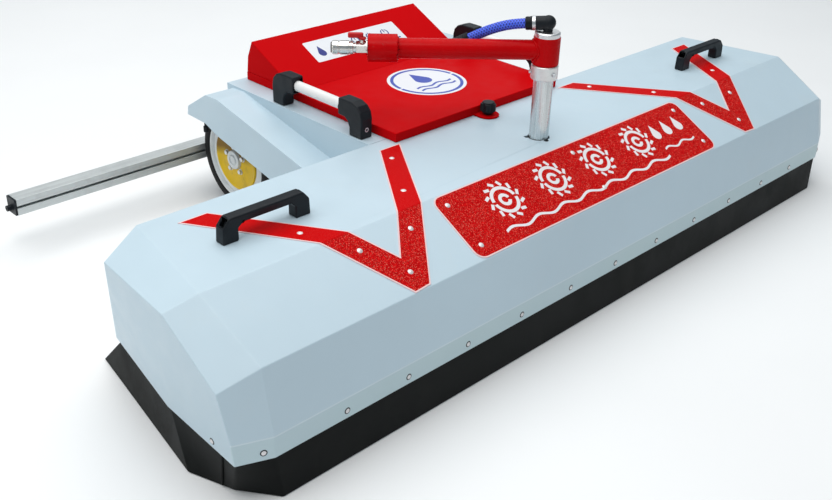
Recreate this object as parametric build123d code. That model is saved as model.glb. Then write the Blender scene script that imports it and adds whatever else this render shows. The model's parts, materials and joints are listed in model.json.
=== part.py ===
from build123d import *

import os
from math import cos, hypot, pi, radians, sin

# Driving dimensions, in mm. +X runs along the washing head, +Y to the rear, +Z up. The origin is on
# the floor, under the middle of the machine's bounding box.
FRONT_Y = -550.0           # front of the washing head's bottom band
BAND_LOW_Z = 88.0          # hood: lower edge of the riveted band
BAND_TOP_Z = 130.0         # hood: fold from the band to the slanted front
SHOULDER_Y = -524.5        # hood: front-top edge
SHOULDER_Z = 249.0
CREASE_Y = -382.5          # hood: crease where the front slope meets the flat top
HOOD_TOP_Z = 326.0
HOOD_REAR_Y = -112.5       # hood: rear edge of the flat top
HOOD_FOOT_Y = -70.0        # hood: rear face at the band's lower edge
STRAIGHT_X = 918.0         # half length of the hood's straight stretch
HOOD_SHEET = 3.0

HEM_Z = 2.0                # skirt hem above the floor
SKIRT_SHEET = 4.0
SKIRT_TOP_Z = 122.0
SKIN_GAP = 0.4             # air between sheets that lie on each other

DECK_Z = 141.0             # underside of the brush deck plate
DECK_PLATE = 8.0
RAIL = 40.0                # square box tube of the frame
RAIL_X = 200.0             # chassis rail centre line
BRUSH_Y = -310.0
BRUSH_R = 220.0
BRUSH_PITCH = 462.0
BRUSH_X = [BRUSH_PITCH * (i - 1.5) for i in range(4)]

BODY_X = 320.0             # rear body: outer edge of the ledge
BODY_WALL_X = 240.0        # rear body: inner side wall beside the wheel
BODY_REAR_Y = 398.0
BODY_LOW_Z = 125.0
BODY_SHEET = 2.5
FENDER_X = 400.0           # outer face of the wheel cover
LID_X = 270.0
LID_FRONT_Y = -142.0
LID_REAR_Y = 383.0
LID_LOW_Z = 327.0
LID_TOP_Z = 347.0
LID_SHEET = 2.5

WHEEL_R = 135.0
WHEEL_Y = 370.0
WHEEL_FACE_X = 332.0       # outer face of the tyre
WHEEL_WIDTH = 70.0
AXLE_R = 12.5

BAR = 40.0                 # slotted aluminium profile, its top face closed
BAR_REAR_Y = 552.5
BAR_END_X = -832.0
BAR_RIGHT_X = 245.0
BAR_TOP_Z = 132.0

POST_X = -9.0
POST_Y = -319.0
POST_R = 21.2
POST_BORE_R = 15.0
COLLAR_Z = 459.0
KNUCKLE_Z = 490.0
KNUCKLE_TOP_Z = 550.0
BOOM_Z = 520.5
BOOM_AZIMUTH = 138.0       # degrees from +X
HOSE_R = 10.5

os.makedirs("parts", exist_ok=True)


def write(name, shape):
    export_step(shape, f"parts/{name}.step")


def block(x0, x1, y0, y1, z0, z1):
    corner = (Align.MIN, Align.MIN, Align.MIN)
    return Pos(x0, y0, z0) * Box(x1 - x0, y1 - y0, z1 - z0, align=corner)


def rod(radius, start, end):
    axis = Vector(*end) - Vector(*start)
    plane = Plane(origin=start, z_dir=axis)
    return plane * Cylinder(radius, axis.length, align=(Align.CENTER, Align.CENTER, Align.MIN))


def ring(outer, inner, start, end):
    return rod(outer, start, end) - rod(inner, start, end)


def side_profile(points, x0, x1):
    """A solid with an outline of (y, z) points, running along X from x0 to x1."""
    face = make_face(Polyline([(x0, y, z) for y, z in points], close=True))
    return extrude(face, amount=x1 - x0, dir=(1, 0, 0))


def flip(shape):
    return mirror(shape, about=Plane.YZ)


def group(shapes):
    return Compound(children=list(shapes))


# The hood is a convex shell, so each facet is a plane through three named corners.
CORNER = {
    "band": (983.6, -523.0, BAND_TOP_Z),
    "foot": (980.0, -518.3, BAND_LOW_Z),
    "crown": (990.1, -362.8, 302.5),
    "crease": (930.6, CREASE_Y, HOOD_TOP_Z),
    "rear_crown": (966.0, -144.6, 296.2),
    "rear_top": (880.0, HOOD_REAR_Y, HOOD_TOP_Z),
    "rear_foot": (925.0, -72.0, BAND_LOW_Z),
    "side_foot": (971.0, -319.0, BAND_LOW_Z),
}
MIDDLE_FACETS = [
    [(0, FRONT_Y, BAND_LOW_Z), (1, FRONT_Y, BAND_LOW_Z), (0, FRONT_Y, BAND_TOP_Z)],
    [(0, FRONT_Y, BAND_TOP_Z), (1, FRONT_Y, BAND_TOP_Z), (0, SHOULDER_Y, SHOULDER_Z)],
    [(0, SHOULDER_Y, SHOULDER_Z), (1, SHOULDER_Y, SHOULDER_Z), (0, CREASE_Y, HOOD_TOP_Z)],
    [(0, CREASE_Y, HOOD_TOP_Z), (1, CREASE_Y, HOOD_TOP_Z), (0, HOOD_REAR_Y, HOOD_TOP_Z)],
    [(0, HOOD_REAR_Y, HOOD_TOP_Z), (1, HOOD_REAR_Y, HOOD_TOP_Z), (0, HOOD_FOOT_Y, BAND_LOW_Z)],
]
END_FACETS = [
    [(STRAIGHT_X, FRONT_Y, BAND_LOW_Z), (STRAIGHT_X, FRONT_Y, BAND_TOP_Z), CORNER["band"]],
    [(STRAIGHT_X, FRONT_Y, BAND_TOP_Z), CORNER["band"], (STRAIGHT_X, SHOULDER_Y, SHOULDER_Z)],
    [(STRAIGHT_X, SHOULDER_Y, SHOULDER_Z), CORNER["crease"], CORNER["crown"]],
    [CORNER["crease"], CORNER["crown"], CORNER["rear_top"]],
    [CORNER["foot"], CORNER["side_foot"], CORNER["crown"]],
    [CORNER["crown"], CORNER["rear_crown"], CORNER["side_foot"]],
    [CORNER["side_foot"], CORNER["rear_crown"], CORNER["rear_foot"]],
    [CORNER["rear_top"], CORNER["rear_crown"], CORNER["rear_foot"]],
]
HOOD_HEART = Vector(0, -320, 180)


def inside_facets(bottom_z, inset):
    """The hood's outer form, with every facet moved inwards by inset."""
    solid = block(-1010, 1010, -560, -40, bottom_z, HOOD_TOP_Z + 10)
    mirrored = [[(-x, y, z) for x, y, z in facet] for facet in END_FACETS]
    for facet in MIDDLE_FACETS + END_FACETS + mirrored:
        a, b, c = (Vector(*point) for point in facet)
        normal = (b - a).cross(c - a).normalized()
        if normal.dot(HOOD_HEART - a) > 0:
            normal = normal * -1
        plane = Plane(origin=a - normal * inset, z_dir=normal)
        solid = split(solid, bisect_by=plane, keep=Keep.BOTTOM)
    return solid


def behind_hood(inset):
    """A wedge that fills the space in front of the hood's rear face, moved back by inset."""
    lean = (HOOD_FOOT_Y - HOOD_REAR_Y) / (BAND_LOW_Z - HOOD_TOP_Z)
    top = HOOD_REAR_Y + inset + lean * (400 - HOOD_TOP_Z)
    low = HOOD_REAR_Y + inset + lean * (0 - HOOD_TOP_Z)
    return side_profile([(-400, 0), (low, 0), (top, 400), (-400, 400)], -500, 500)


def make_hood():
    shell = inside_facets(BAND_LOW_Z, 0) - inside_facets(BAND_LOW_Z - 5, HOOD_SHEET)
    shell -= rod(POST_R + 3, (POST_X, POST_Y, 300), (POST_X, POST_Y, 340))
    for angle in (20, 140, 260):
        x, y = 26 * cos(radians(angle)), 26 * sin(radians(angle))
        shell -= rod(6, (POST_X + x, POST_Y + y, 300), (POST_X + x, POST_Y + y, 340))
    for side in (-1, 1):
        x = side * RAIL_X
        shell -= block(x - 24, x + 24, -140, -40, DECK_Z + DECK_PLATE - 4, DECK_Z + DECK_PLATE + 44)
    return shell


# Right half of the skirt's outlines, (x, y), from front to rear: behind the hood's band and on the floor.
SKIRT_WAIST = [(917.0, -546.0), (975.5, -521.5), (965.5, -318.0), (917.0, -81.0)]
SKIRT_HEM = [(908.0, -552.5), (957.0, -485.0), (988.0, -395.0), (920.0, -2.0)]


def both_sides(points, inset):
    """A closed outline from its right half; each point moved towards the middle by inset."""
    middle_y = BRUSH_Y
    right = [(x - inset, y + (inset if y < middle_y else -inset)) for x, y in points]
    return right + [(-x, y) for x, y in reversed(right)]


def skirt_body(inset, low_z, top_z):
    hem = make_face(Polyline([(x, y, low_z) for x, y in both_sides(SKIRT_HEM, inset)], close=True))
    waist_z = BAND_LOW_Z - 3
    waist = make_face(Polyline([(x, y, waist_z) for x, y in both_sides(SKIRT_WAIST, inset)], close=True))
    return loft([hem, waist], ruled=True) + extrude(waist, amount=top_z - waist_z, dir=(0, 0, 1))


def make_skirt():
    return skirt_body(0, HEM_Z, SKIRT_TOP_Z) - skirt_body(SKIRT_SHEET, HEM_Z, SKIRT_TOP_Z)


def slope_plane(lift=0.0):
    """On the front slope, with x along the hood and y up the slope from the shoulder's edge."""
    rise, run = HOOD_TOP_Z - SHOULDER_Z, CREASE_Y - SHOULDER_Y
    normal = Vector(0, -rise, run).normalized()
    start = Vector(0, CREASE_Y, HOOD_TOP_Z) + normal * lift
    return Plane(origin=start, x_dir=(1, 0, 0), z_dir=normal)


SLOPE_LENGTH = hypot(CREASE_Y - SHOULDER_Y, HOOD_TOP_Z - SHOULDER_Z)
TRIM_SHEET = 1.5
PLATE_X = 413.0


def make_name_plate():
    length = SLOPE_LENGTH - 5
    outline = RectangleRounded(2 * PLATE_X, length, 22)
    return slope_plane() * Pos(0, -SLOPE_LENGTH / 2, 0) * extrude(outline, amount=TRIM_SHEET)


# One chevron unfolded: x along the hood, s up from the crease (s < 0 lies on the front slope).
CHEVRON = [(-821.7, 226.6), (-759.1, 226.6), (-559.5, -84.5), (-326.8, 231.0), (-266.9, 231.0),
           (-543.2, -157.8), (-582.6, -SLOPE_LENGTH + 1)]


def make_chevron():
    """One bent sheet: its two halves are mitred on the plane that halves the crease's angle."""
    outline = make_face(Polyline([(x, s, 0) for x, s in CHEVRON], close=True))
    flat = Pos(0, CREASE_Y, HOOD_TOP_Z) * extrude(outline, amount=TRIM_SHEET)
    slope = slope_plane() * extrude(outline, amount=TRIM_SHEET)
    uphill = slope_plane().y_dir + Vector(0, 1, 0)
    mitre = Plane(origin=(0, CREASE_Y, HOOD_TOP_Z), z_dir=uphill)
    return split(flat, bisect_by=mitre, keep=Keep.TOP) + split(slope, bisect_by=mitre, keep=Keep.BOTTOM)


TRIM_RIVET_R = 5.6
CHEVRON_RIVETS = [(334, 185), (423.5, 57.5), (496, -42), (562, -120), (622, -43), (683, 52), (752, 170)]
PLATE_RIVETS = [(x, s) for x in (-386, 0, 386) for s in (-28, -131)]


def dome(radius, height):
    """A low rivet head: a cap cut from a ball."""
    ball_r = (radius ** 2 + height ** 2) / (2 * height)
    ball = Pos(0, 0, height - ball_r) * Sphere(ball_r)
    return ball & Pos(0, 0, height) * Box(4 * radius, 4 * radius, 2 * height)


def rivet_on_top(x, s):
    place = Pos(x, CREASE_Y + s, HOOD_TOP_Z + TRIM_SHEET)
    if s < 0:
        place = slope_plane(TRIM_SHEET) * Pos(x, s, 0)
    return place * dome(TRIM_RIVET_R, 2.2)


def make_trim_rivets():
    spots = PLATE_RIVETS + [(side * x, s) for side in (-1, 1) for x, s in CHEVRON_RIVETS]
    return group(rivet_on_top(x, s) for x, s in spots)


def end_plane(y, z):
    """On the hood's right end facet, at height z and y."""
    a, b, c = (Vector(*CORNER[name]) for name in ("foot", "side_foot", "crown"))
    normal = (b - a).cross(c - a).normalized()
    x = a.X - (normal.Y * (y - a.Y) + normal.Z * (z - a.Z)) / normal.X
    return Plane(origin=(x, y, z), z_dir=normal)


BAND_RIVET_R = 4.8
BAND_RIVET_Z = 103.0
BAND_RIVET_X = [155.0 * i for i in range(-4, 5)] + [-765.0, 765.0]


def make_band_rivets():
    """Dome rivets along the front, one on each bevelled corner and one on each end."""
    rivets = []
    for x in BAND_RIVET_X:
        rivets.append(Plane(origin=(x, FRONT_Y, BAND_RIVET_Z), z_dir=(0, -1, 0)) * dome(BAND_RIVET_R, 2.6))
    along = Vector(CORNER["band"][0] - STRAIGHT_X, CORNER["band"][1] - FRONT_Y, 0).normalized()
    spot = Vector(STRAIGHT_X, FRONT_Y, BAND_RIVET_Z) + along * 19
    for place in (Plane(origin=spot, z_dir=(along.Y, -along.X, 0)), end_plane(-463, BAND_RIVET_Z)):
        rivet = place * dome(BAND_RIVET_R, 2.6)
        rivets += [rivet, flip(rivet)]
    return group(rivets)


HANDLE_X = [633.0, 795.0]     # foot centres of a lift handle
HANDLE_SCREW_X = [HANDLE_X[0] - 7, HANDLE_X[1] + 7]
HANDLE_Y = -269.0
HANDLE_WIDTH = 24.0
HANDLE_HEIGHT = 48.0


def make_lift_handle():
    """A bridge handle: two feet with sloping shoulders and a straight grip."""
    low, high = HANDLE_X[0] - 16, HANDLE_X[1] + 16
    z0, z1 = HOOD_TOP_Z, HOOD_TOP_Z + HANDLE_HEIGHT
    outer = [(low, z0), (low + 2, z1 - 16), (low + 16, z1), (high - 16, z1), (high - 2, z1 - 16),
             (high, z0)]
    inner = [(high - 34, z0), (high - 34, z1 - 24), (high - 42, z1 - 16), (low + 42, z1 - 16),
             (low + 34, z1 - 24), (low + 34, z0)]
    face = make_face(Polyline([(x, 0, z) for x, z in outer + inner], close=True))
    bar = Pos(0, HANDLE_Y + HANDLE_WIDTH / 2, 0) * extrude(face, amount=HANDLE_WIDTH, dir=(0, -1, 0))
    long_edges = bar.edges().filter_by(Axis.X).filter_by(lambda e: e.center().Z > z1 - 20)
    bar = fillet(long_edges, 4)
    for x in HANDLE_SCREW_X:
        bar -= rod(5.6, (x, HANDLE_Y, z0 + 9), (x, HANDLE_Y, z1 + 5))
    return bar


def make_handle_screws():
    """Socket-head screws, one in each foot of both lift handles."""
    screws = []
    for side in (-1, 1):
        for x in HANDLE_SCREW_X:
            foot = (side * x, HANDLE_Y, HOOD_TOP_Z + 9)
            head = (side * x, HANDLE_Y, HOOD_TOP_Z + 17)
            screws.append(rod(5.5, foot, head) - rod(2.6, (side * x, HANDLE_Y, HOOD_TOP_Z + 13), head))
    return group(screws)


def box_tube_x(x0, x1, y, z):
    """A square tube along X; y and z are its centre line."""
    half, wall = RAIL / 2, 3.0
    outer = block(x0, x1, y - half, y + half, z - half, z + half)
    return outer - block(x0 - 1, x1 + 1, y - half + wall, y + half - wall, z - half + wall, z + half - wall)


def box_tube_y(x, y0, y1, z):
    half, wall = RAIL / 2, 3.0
    outer = block(x - half, x + half, y0, y1, z - half, z + half)
    return outer - block(x - half + wall, x + half - wall, y0 - 1, y1 + 1, z - half + wall, z + half - wall)


FRAME_Z = DECK_Z - RAIL / 2
FRAME_FRONT_Y = -478.0
FRAME_REAR_Y = -142.0


def make_head_frame():
    tubes = [box_tube_x(-900, 900, FRAME_FRONT_Y, FRAME_Z), box_tube_x(-900, 900, FRAME_REAR_Y, FRAME_Z)]
    inner_front, inner_rear = FRAME_FRONT_Y + RAIL / 2, FRAME_REAR_Y - RAIL / 2
    for x in (-878, -BRUSH_PITCH, 0, BRUSH_PITCH, 878):
        tubes.append(box_tube_y(x, inner_front, inner_rear, FRAME_Z))
    return group(tubes)


DECK_TOP_Z = DECK_Z + DECK_PLATE
SPINDLE_R = 12.5
SHAFT_GAP = 0.05
PIPE_Y, PIPE_Z = -515.0, 165.0
NOZZLE_X = [BRUSH_PITCH / 2 * (i - 3.5) + 58 for i in range(8)]


def make_deck_plate():
    plate = inside_facets(DECK_Z, HOOD_SHEET + SKIN_GAP) & block(-1000, 1000, -560, 0, DECK_Z, DECK_TOP_Z)
    for x in BRUSH_X:
        plate -= rod(30, (x, BRUSH_Y, DECK_Z - 1), (x, BRUSH_Y, DECK_TOP_Z + 1))
    for x in NOZZLE_X:
        plate -= rod(6, (x, PIPE_Y, DECK_Z - 1), (x, PIPE_Y, DECK_TOP_Z + 1))
    return plate


def make_spray_pipe():
    """A capped water pipe along the head with a nozzle tube every half brush and a feed from the post."""
    pipe = ring(10, 7.5, (-880, PIPE_Y, PIPE_Z), (880, PIPE_Y, PIPE_Z))
    for end in (-880, 880):
        pipe += rod(12, (end - 4, PIPE_Y, PIPE_Z), (end + 4, PIPE_Y, PIPE_Z))
    for x in NOZZLE_X:
        pipe += rod(4, (x, PIPE_Y, 100), (x, PIPE_Y, PIPE_Z - 8))
    feed = rod(9, (POST_X, PIPE_Y + 5, PIPE_Z + 14), (POST_X, POST_Y - POST_R - 1, PIPE_Z + 14))
    return pipe + feed + rod(9, (POST_X, PIPE_Y + 5, PIPE_Z - 3), (POST_X, PIPE_Y + 5, PIPE_Z + 23))


def make_brush_motor(x):
    """A vertical gearmotor on the deck: square gearbox, round finned motor and terminal box."""
    gearbox = block(x - 60, x + 60, BRUSH_Y - 60, BRUSH_Y + 60, DECK_TOP_Z, DECK_TOP_Z + 70)
    gearbox = fillet(gearbox.edges().filter_by(Axis.Z), 12)
    low, top = DECK_TOP_Z + 70, DECK_TOP_Z + 156
    motor = rod(52, (x, BRUSH_Y, low), (x, BRUSH_Y, top))
    for z in (low + 12, low + 26, low + 40, low + 54):
        motor += rod(56, (x, BRUSH_Y, z), (x, BRUSH_Y, z + 5))
    terminal = block(x - 25, x + 25, BRUSH_Y + 50, BRUSH_Y + 78, low + 15, low + 60)
    bore = rod(SPINDLE_R + SHAFT_GAP, (x, BRUSH_Y, DECK_TOP_Z - 1), (x, BRUSH_Y, DECK_TOP_Z + 52))
    return gearbox + motor + terminal - bore


DISC_Z = 48.0
FLANGE_Z = 80.0


def make_brush(x):
    """Bristle ring, backing disc with its hub, and the spindle bolted on the hub."""
    bristles = Pos(x, BRUSH_Y, DISC_Z / 2) * Cone(BRUSH_R, BRUSH_R - 7, DISC_Z)
    bristles -= rod(85, (x, BRUSH_Y, -1), (x, BRUSH_Y, DISC_Z + 1))
    disc = rod(BRUSH_R - 7, (x, BRUSH_Y, DISC_Z), (x, BRUSH_Y, DISC_Z + 14))
    disc += rod(62, (x, BRUSH_Y, DISC_Z + 14), (x, BRUSH_Y, FLANGE_Z))
    disc -= rod(30, (x, BRUSH_Y, DISC_Z - 1), (x, BRUSH_Y, FLANGE_Z - 12))
    for i in range(6):
        angle = radians(60 * i)
        spot = (x + 120 * cos(angle), BRUSH_Y + 120 * sin(angle))
        disc -= rod(12, (*spot, DISC_Z - 1), (*spot, DISC_Z + 15))
    spindle = rod(50, (x, BRUSH_Y, FLANGE_Z), (x, BRUSH_Y, FLANGE_Z + 8))
    spindle += rod(SPINDLE_R, (x, BRUSH_Y, FLANGE_Z + 8), (x, BRUSH_Y, DECK_TOP_Z + 50))
    return group([bristles, disc, spindle])


CHASSIS_Z = DECK_TOP_Z + RAIL / 2
CHASSIS_TOP_Z = DECK_TOP_Z + RAIL


def make_chassis_frame():
    tubes = [box_tube_y(side * RAIL_X, -205, BAR_REAR_Y, CHASSIS_Z) for side in (-1, 1)]
    inner = RAIL_X - RAIL / 2
    for y in (-30, 250, 480):
        tubes.append(box_tube_x(-inner, inner, y, CHASSIS_Z))
    for x in (-RAIL_X, RAIL_X):
        tubes.append(block(x - 22, x + 22, BAR_REAR_Y - BAR, BAR_REAR_Y, BAR_TOP_Z, DECK_TOP_Z))
    return group(tubes)


ACCESS_X = 228.0


def make_body_cover():
    """Folded cover: ledge plate with the access opening, two inner side walls and a rear wall."""
    t = BODY_SHEET
    cover = block(-BODY_X, BODY_X, -200, BODY_REAR_Y, HOOD_TOP_Z - t, HOOD_TOP_Z)
    cover -= block(-ACCESS_X, ACCESS_X, -60, 340, HOOD_TOP_Z - t - 1, HOOD_TOP_Z + 1)
    for side in (-1, 1):
        outer = side * BODY_WALL_X
        x0, x1 = sorted((outer, outer - side * t))
        cover += block(x0, x1, -200, BODY_REAR_Y, BODY_LOW_Z, HOOD_TOP_Z - t)
        cover -= rod(24, (outer - 10, WHEEL_Y, WHEEL_R), (outer + 10, WHEEL_Y, WHEEL_R))
    cover += block(-BODY_WALL_X, BODY_WALL_X, BODY_REAR_Y - t, BODY_REAR_Y, CHASSIS_TOP_Z + 1, HOOD_TOP_Z - t)
    return cover - behind_hood(1.0)


# Wheel cover outline, (y, z): the top rises to the rear, rounds over a short nose and the lower edge
# runs forward and down across the wheel.
FENDER_TOP = [(-112, 225), (328, 321), (375, 319), (453, 270), (457, 247)]
FENDER_LOW = [(384, 245), (338, 228), (-112, 130)]


def make_fender():
    t = BODY_SHEET
    outer = side_profile(FENDER_TOP + FENDER_LOW, BODY_X, FENDER_X)
    inner_top = [(-113, 225 - t), (328, 321 - t), (374, 319 - t), (453 - t, 268), (457 - t, 230)]
    hollow = side_profile(inner_top + [(-113, 100)], BODY_X - 5, FENDER_X - t)
    step = [(-112, 225 - t), (328, 321 - t), (374, 319 - t), (BODY_REAR_Y, 303 - t),
            (BODY_REAR_Y, HOOD_TOP_Z - t), (-112, HOOD_TOP_Z - t)]
    fender = outer - hollow + side_profile(step, BODY_X - t, BODY_X)
    return fender - behind_hood(1.0)


def make_equipment_tray():
    tray = block(-232, 232, -60, 388, CHASSIS_TOP_Z, CHASSIS_TOP_Z + 3)
    return tray + block(-232, 232, -60, -57, CHASSIS_TOP_Z + 3, CHASSIS_TOP_Z + 15)


TRAY_Z = CHASSIS_TOP_Z + 3


def make_battery_pack():
    case = block(-215, 25, 20, 200, TRAY_Z, TRAY_Z + 100)
    case = fillet(case.edges().filter_by(Axis.Z), 8)
    lid = block(-218, 28, 17, 203, TRAY_Z + 100, TRAY_Z + 112)
    posts = rod(8, (-180, 50, TRAY_Z + 112), (-180, 50, TRAY_Z + 122))
    return case + lid + posts + rod(8, (-10, 50, TRAY_Z + 112), (-10, 50, TRAY_Z + 122))


def make_control_box():
    box = block(60, 215, 30, 300, TRAY_Z, TRAY_Z + 90)
    box = fillet(box.edges().filter_by(Axis.Z), 6)
    for y in (70, 120, 170, 220):
        box += rod(9, (60, y, TRAY_Z + 25), (50, y, TRAY_Z + 25))
    return box


LATCH_Y = -162.0


def make_lid():
    t = LID_SHEET
    lid = block(-LID_X, LID_X, LID_FRONT_Y, LID_REAR_Y, LID_LOW_Z, LID_TOP_Z)
    lid -= block(-LID_X + t, LID_X - t, LID_FRONT_Y + t, LID_REAR_Y - t, LID_LOW_Z - 1, LID_TOP_Z - t)
    tab = block(-26, 26, LATCH_Y, LID_FRONT_Y, LID_LOW_Z, LID_LOW_Z + 3)
    tab += rod(26, (0, LATCH_Y, LID_LOW_Z), (0, LATCH_Y, LID_LOW_Z + 3))
    return lid + tab - rod(5, (0, LATCH_Y, LID_LOW_Z - 1), (0, LATCH_Y, LID_LOW_Z + 6))


# Console outline, (y, z), on the rear of the lid.
CONSOLE = [(194, LID_TOP_Z), (360, 427), (378, 386), (LID_REAR_Y, LID_TOP_Z)]


def make_console():
    t = LID_SHEET
    outer = side_profile(CONSOLE, -LID_X, LID_X)
    hollow = [(194 + 3 * t, LID_TOP_Z - 1), (360 - 0.3 * t, 427 - 1.6 * t), (378 - 1.2 * t, 385),
              (LID_REAR_Y - t, LID_TOP_Z - 1)]
    return outer - side_profile(hollow, -LID_X + t, LID_X - t)


LATCH_STEM_R = 4.0


def make_latch_knob():
    """Five-lobed thumb knob whose plain stem drops into a hole in the hood's top."""
    low = LID_LOW_Z + 3.4
    knob = rod(14, (0, LATCH_Y, low + 4), (0, LATCH_Y, low + 29))
    for i in range(5):
        angle = radians(72 * i)
        x, y = 12 * cos(angle), LATCH_Y + 12 * sin(angle)
        knob += rod(6.5, (x, y, low + 8), (x, y, low + 26))
    knob += rod(9, (0, LATCH_Y, low), (0, LATCH_Y, low + 6))
    return knob + rod(LATCH_STEM_R, (0, LATCH_Y, HOOD_TOP_Z - 8), (0, LATCH_Y, low + 4))


HINGE_Y, HINGE_Z = 404.0, 332.0
HINGE_R = 5.5
HINGE_PIN_R = 2.5
HINGE_HALF = 230.0
KNUCKLES = 9


def hinge_knuckles(parity):
    """Every other knuckle of the piano hinge, with 0.5 mm of air beside each."""
    pitch = 2 * HINGE_HALF / KNUCKLES
    starts = [-HINGE_HALF + pitch * i for i in range(KNUCKLES) if i % 2 == parity]
    return [(start + 0.25, start + pitch - 0.25) for start in starts]


def make_hinge_leaf(parity):
    leaf = None
    for x0, x1 in hinge_knuckles(parity):
        knuckle = rod(HINGE_R, (x0, HINGE_Y, HINGE_Z), (x1, HINGE_Y, HINGE_Z))
        if parity == 0:
            knuckle += block(x0, x1, BODY_REAR_Y, BODY_REAR_Y + 2, HINGE_Z - 14, HINGE_Z)
        else:
            knuckle += block(x0, x1, LID_REAR_Y, HINGE_Y, HINGE_Z + 3.5, HINGE_Z + 5.5)
        bore_r = HINGE_PIN_R + SHAFT_GAP
        knuckle -= rod(bore_r, (x0 - 1, HINGE_Y, HINGE_Z), (x1 + 1, HINGE_Y, HINGE_Z))
        leaf = knuckle if leaf is None else leaf + knuckle
    if parity == 0:
        plate = block(-HINGE_HALF, HINGE_HALF, BODY_REAR_Y, BODY_REAR_Y + 2, HINGE_Z - 42, HINGE_Z - 14)
    else:
        plate = block(-HINGE_HALF, HINGE_HALF, LID_REAR_Y, LID_REAR_Y + 2, HINGE_Z - 2, HINGE_Z + 13)
    return leaf + plate


def make_hinge_pin():
    return rod(HINGE_PIN_R, (-HINGE_HALF - 2, HINGE_Y, HINGE_Z), (HINGE_HALF + 2, HINGE_Y, HINGE_Z))


SIDE_HANDLE_X = 301.0
SIDE_HANDLE_Y = 69.0
SIDE_TUBE_R = 12.0
SIDE_TUBE_Z = 381.0
# Bracket outline, (y from the handle's middle, z above the ledge).
BRACKET = [(-153, 0), (-154, 44), (-150, 60), (-139, 71), (-122, 77), (-78, 77), (-76, 38), (-98, 37),
           (-108, 30), (-113, 18), (-113, 0)]


def make_side_brackets(side):
    brackets = []
    x = side * SIDE_HANDLE_X
    for direction in (1, -1):
        points = [(SIDE_HANDLE_Y + direction * y, HOOD_TOP_Z + z) for y, z in BRACKET]
        solid = side_profile(points, x - 16, x + 16)
        solid = fillet(solid.edges().filter_by(Axis.X).filter_by(lambda e: e.center().Z > HOOD_TOP_Z + 40), 5)
        socket_end = SIDE_HANDLE_Y - direction * 74
        socket_floor = SIDE_HANDLE_Y - direction * 92
        solid -= rod(SIDE_TUBE_R, (x, socket_end, SIDE_TUBE_Z), (x, socket_floor, SIDE_TUBE_Z))
        brackets.append(solid)
    return group(brackets)


def make_side_tube(side):
    x = side * SIDE_HANDLE_X
    start = (x, SIDE_HANDLE_Y - 92, SIDE_TUBE_Z)
    end = (x, SIDE_HANDLE_Y + 92, SIDE_TUBE_Z)
    return ring(SIDE_TUBE_R, SIDE_TUBE_R - 2, start, end)


TYRE_IN_R = 108.0
RIM_IN_R = 80.0
WHEEL_IN_X = WHEEL_FACE_X - WHEEL_WIDTH


def wheel_ring(outer, inner, x0, x1):
    return ring(outer, inner, (x0, WHEEL_Y, WHEEL_R), (x1, WHEEL_Y, WHEEL_R))


def make_tyre():
    tyre = wheel_ring(WHEEL_R, TYRE_IN_R, WHEEL_IN_X, WHEEL_FACE_X)
    rims = tyre.edges().filter_by(GeomType.CIRCLE).filter_by(lambda e: e.radius > WHEEL_R - 1)
    tyre = fillet(rims, 9)
    for x in (WHEEL_IN_X + 20, WHEEL_IN_X + 35, WHEEL_IN_X + 50):
        tyre -= wheel_ring(WHEEL_R + 1, WHEEL_R - 4, x - 1.5, x + 1.5)
    return tyre


def make_rim():
    """The barrel under the tyre and the flange welded inside it, which carries the disc."""
    barrel_in_r = TYRE_IN_R - 8
    barrel = wheel_ring(TYRE_IN_R, barrel_in_r, WHEEL_IN_X + 4, WHEEL_FACE_X - 3)
    return group([barrel, wheel_ring(barrel_in_r, RIM_IN_R, WHEEL_FACE_X - 15, WHEEL_FACE_X - 5)])


def make_wheel_disc():
    """Dished disc with its hub, and the axle pressed into it."""
    disc = wheel_ring(RIM_IN_R, AXLE_R, WHEEL_FACE_X - 10, WHEEL_FACE_X - 3)
    disc += wheel_ring(24, AXLE_R, WHEEL_FACE_X - 40, WHEEL_FACE_X + 5)
    axle = rod(AXLE_R, (125, WHEEL_Y, WHEEL_R), (WHEEL_FACE_X + 8, WHEEL_Y, WHEEL_R))
    return group([disc, axle])


def make_wheel_motor():
    """Worm gearmotor between the chassis rails, with its bore on the wheel axis."""
    box = block(112, 176, WHEEL_Y - 52, WHEEL_Y + 52, 88, 186)
    box = fillet(box.edges().filter_by(Axis.X), 10)
    motor = rod(40, (15, WHEEL_Y, WHEEL_R), (112, WHEEL_Y, WHEEL_R))
    bore = rod(AXLE_R + SHAFT_GAP, (123, WHEEL_Y, WHEEL_R), (180, WHEEL_Y, WHEEL_R))
    return box + motor - bore


def make_axle_bearings():
    bearings = []
    for side in (-1, 1):
        x0, x1 = sorted((side * (RAIL_X - 16), side * (RAIL_X + 16)))
        body = rod(30, (x0, WHEEL_Y, WHEEL_R), (x1, WHEEL_Y, WHEEL_R))
        body += block(x0, x1, WHEEL_Y - 48, WHEEL_Y + 48, DECK_TOP_Z - 12, DECK_TOP_Z)
        body &= block(x0, x1, WHEEL_Y - 60, WHEEL_Y + 60, 60, DECK_TOP_Z)
        body -= rod(AXLE_R + SHAFT_GAP, (x0 - 1, WHEEL_Y, WHEEL_R), (x1 + 1, WHEEL_Y, WHEEL_R))
        bearings.append(body)
    return group(bearings)


def make_guide_bar():
    """Slotted aluminium profile under the rear ends of the chassis rails, with slots on three faces."""
    half, mouth, pocket = BAR / 2, 3.0, 7.5
    section = Rectangle(BAR, BAR)
    for angle in (90, 180, 270):
        slot = Pos(0, half - 2.5) * Rectangle(2 * mouth, 5.2) + Pos(0, half - 8) * Rectangle(2 * pocket, 6.2)
        section -= Rot(0, 0, angle) * slot
    section -= Circle(5)
    start = (BAR_END_X, BAR_REAR_Y - half, BAR_TOP_Z - half)
    plane = Plane(origin=start, x_dir=(0, 1, 0), z_dir=(1, 0, 0))
    return plane * extrude(section, amount=BAR_RIGHT_X - BAR_END_X)


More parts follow.
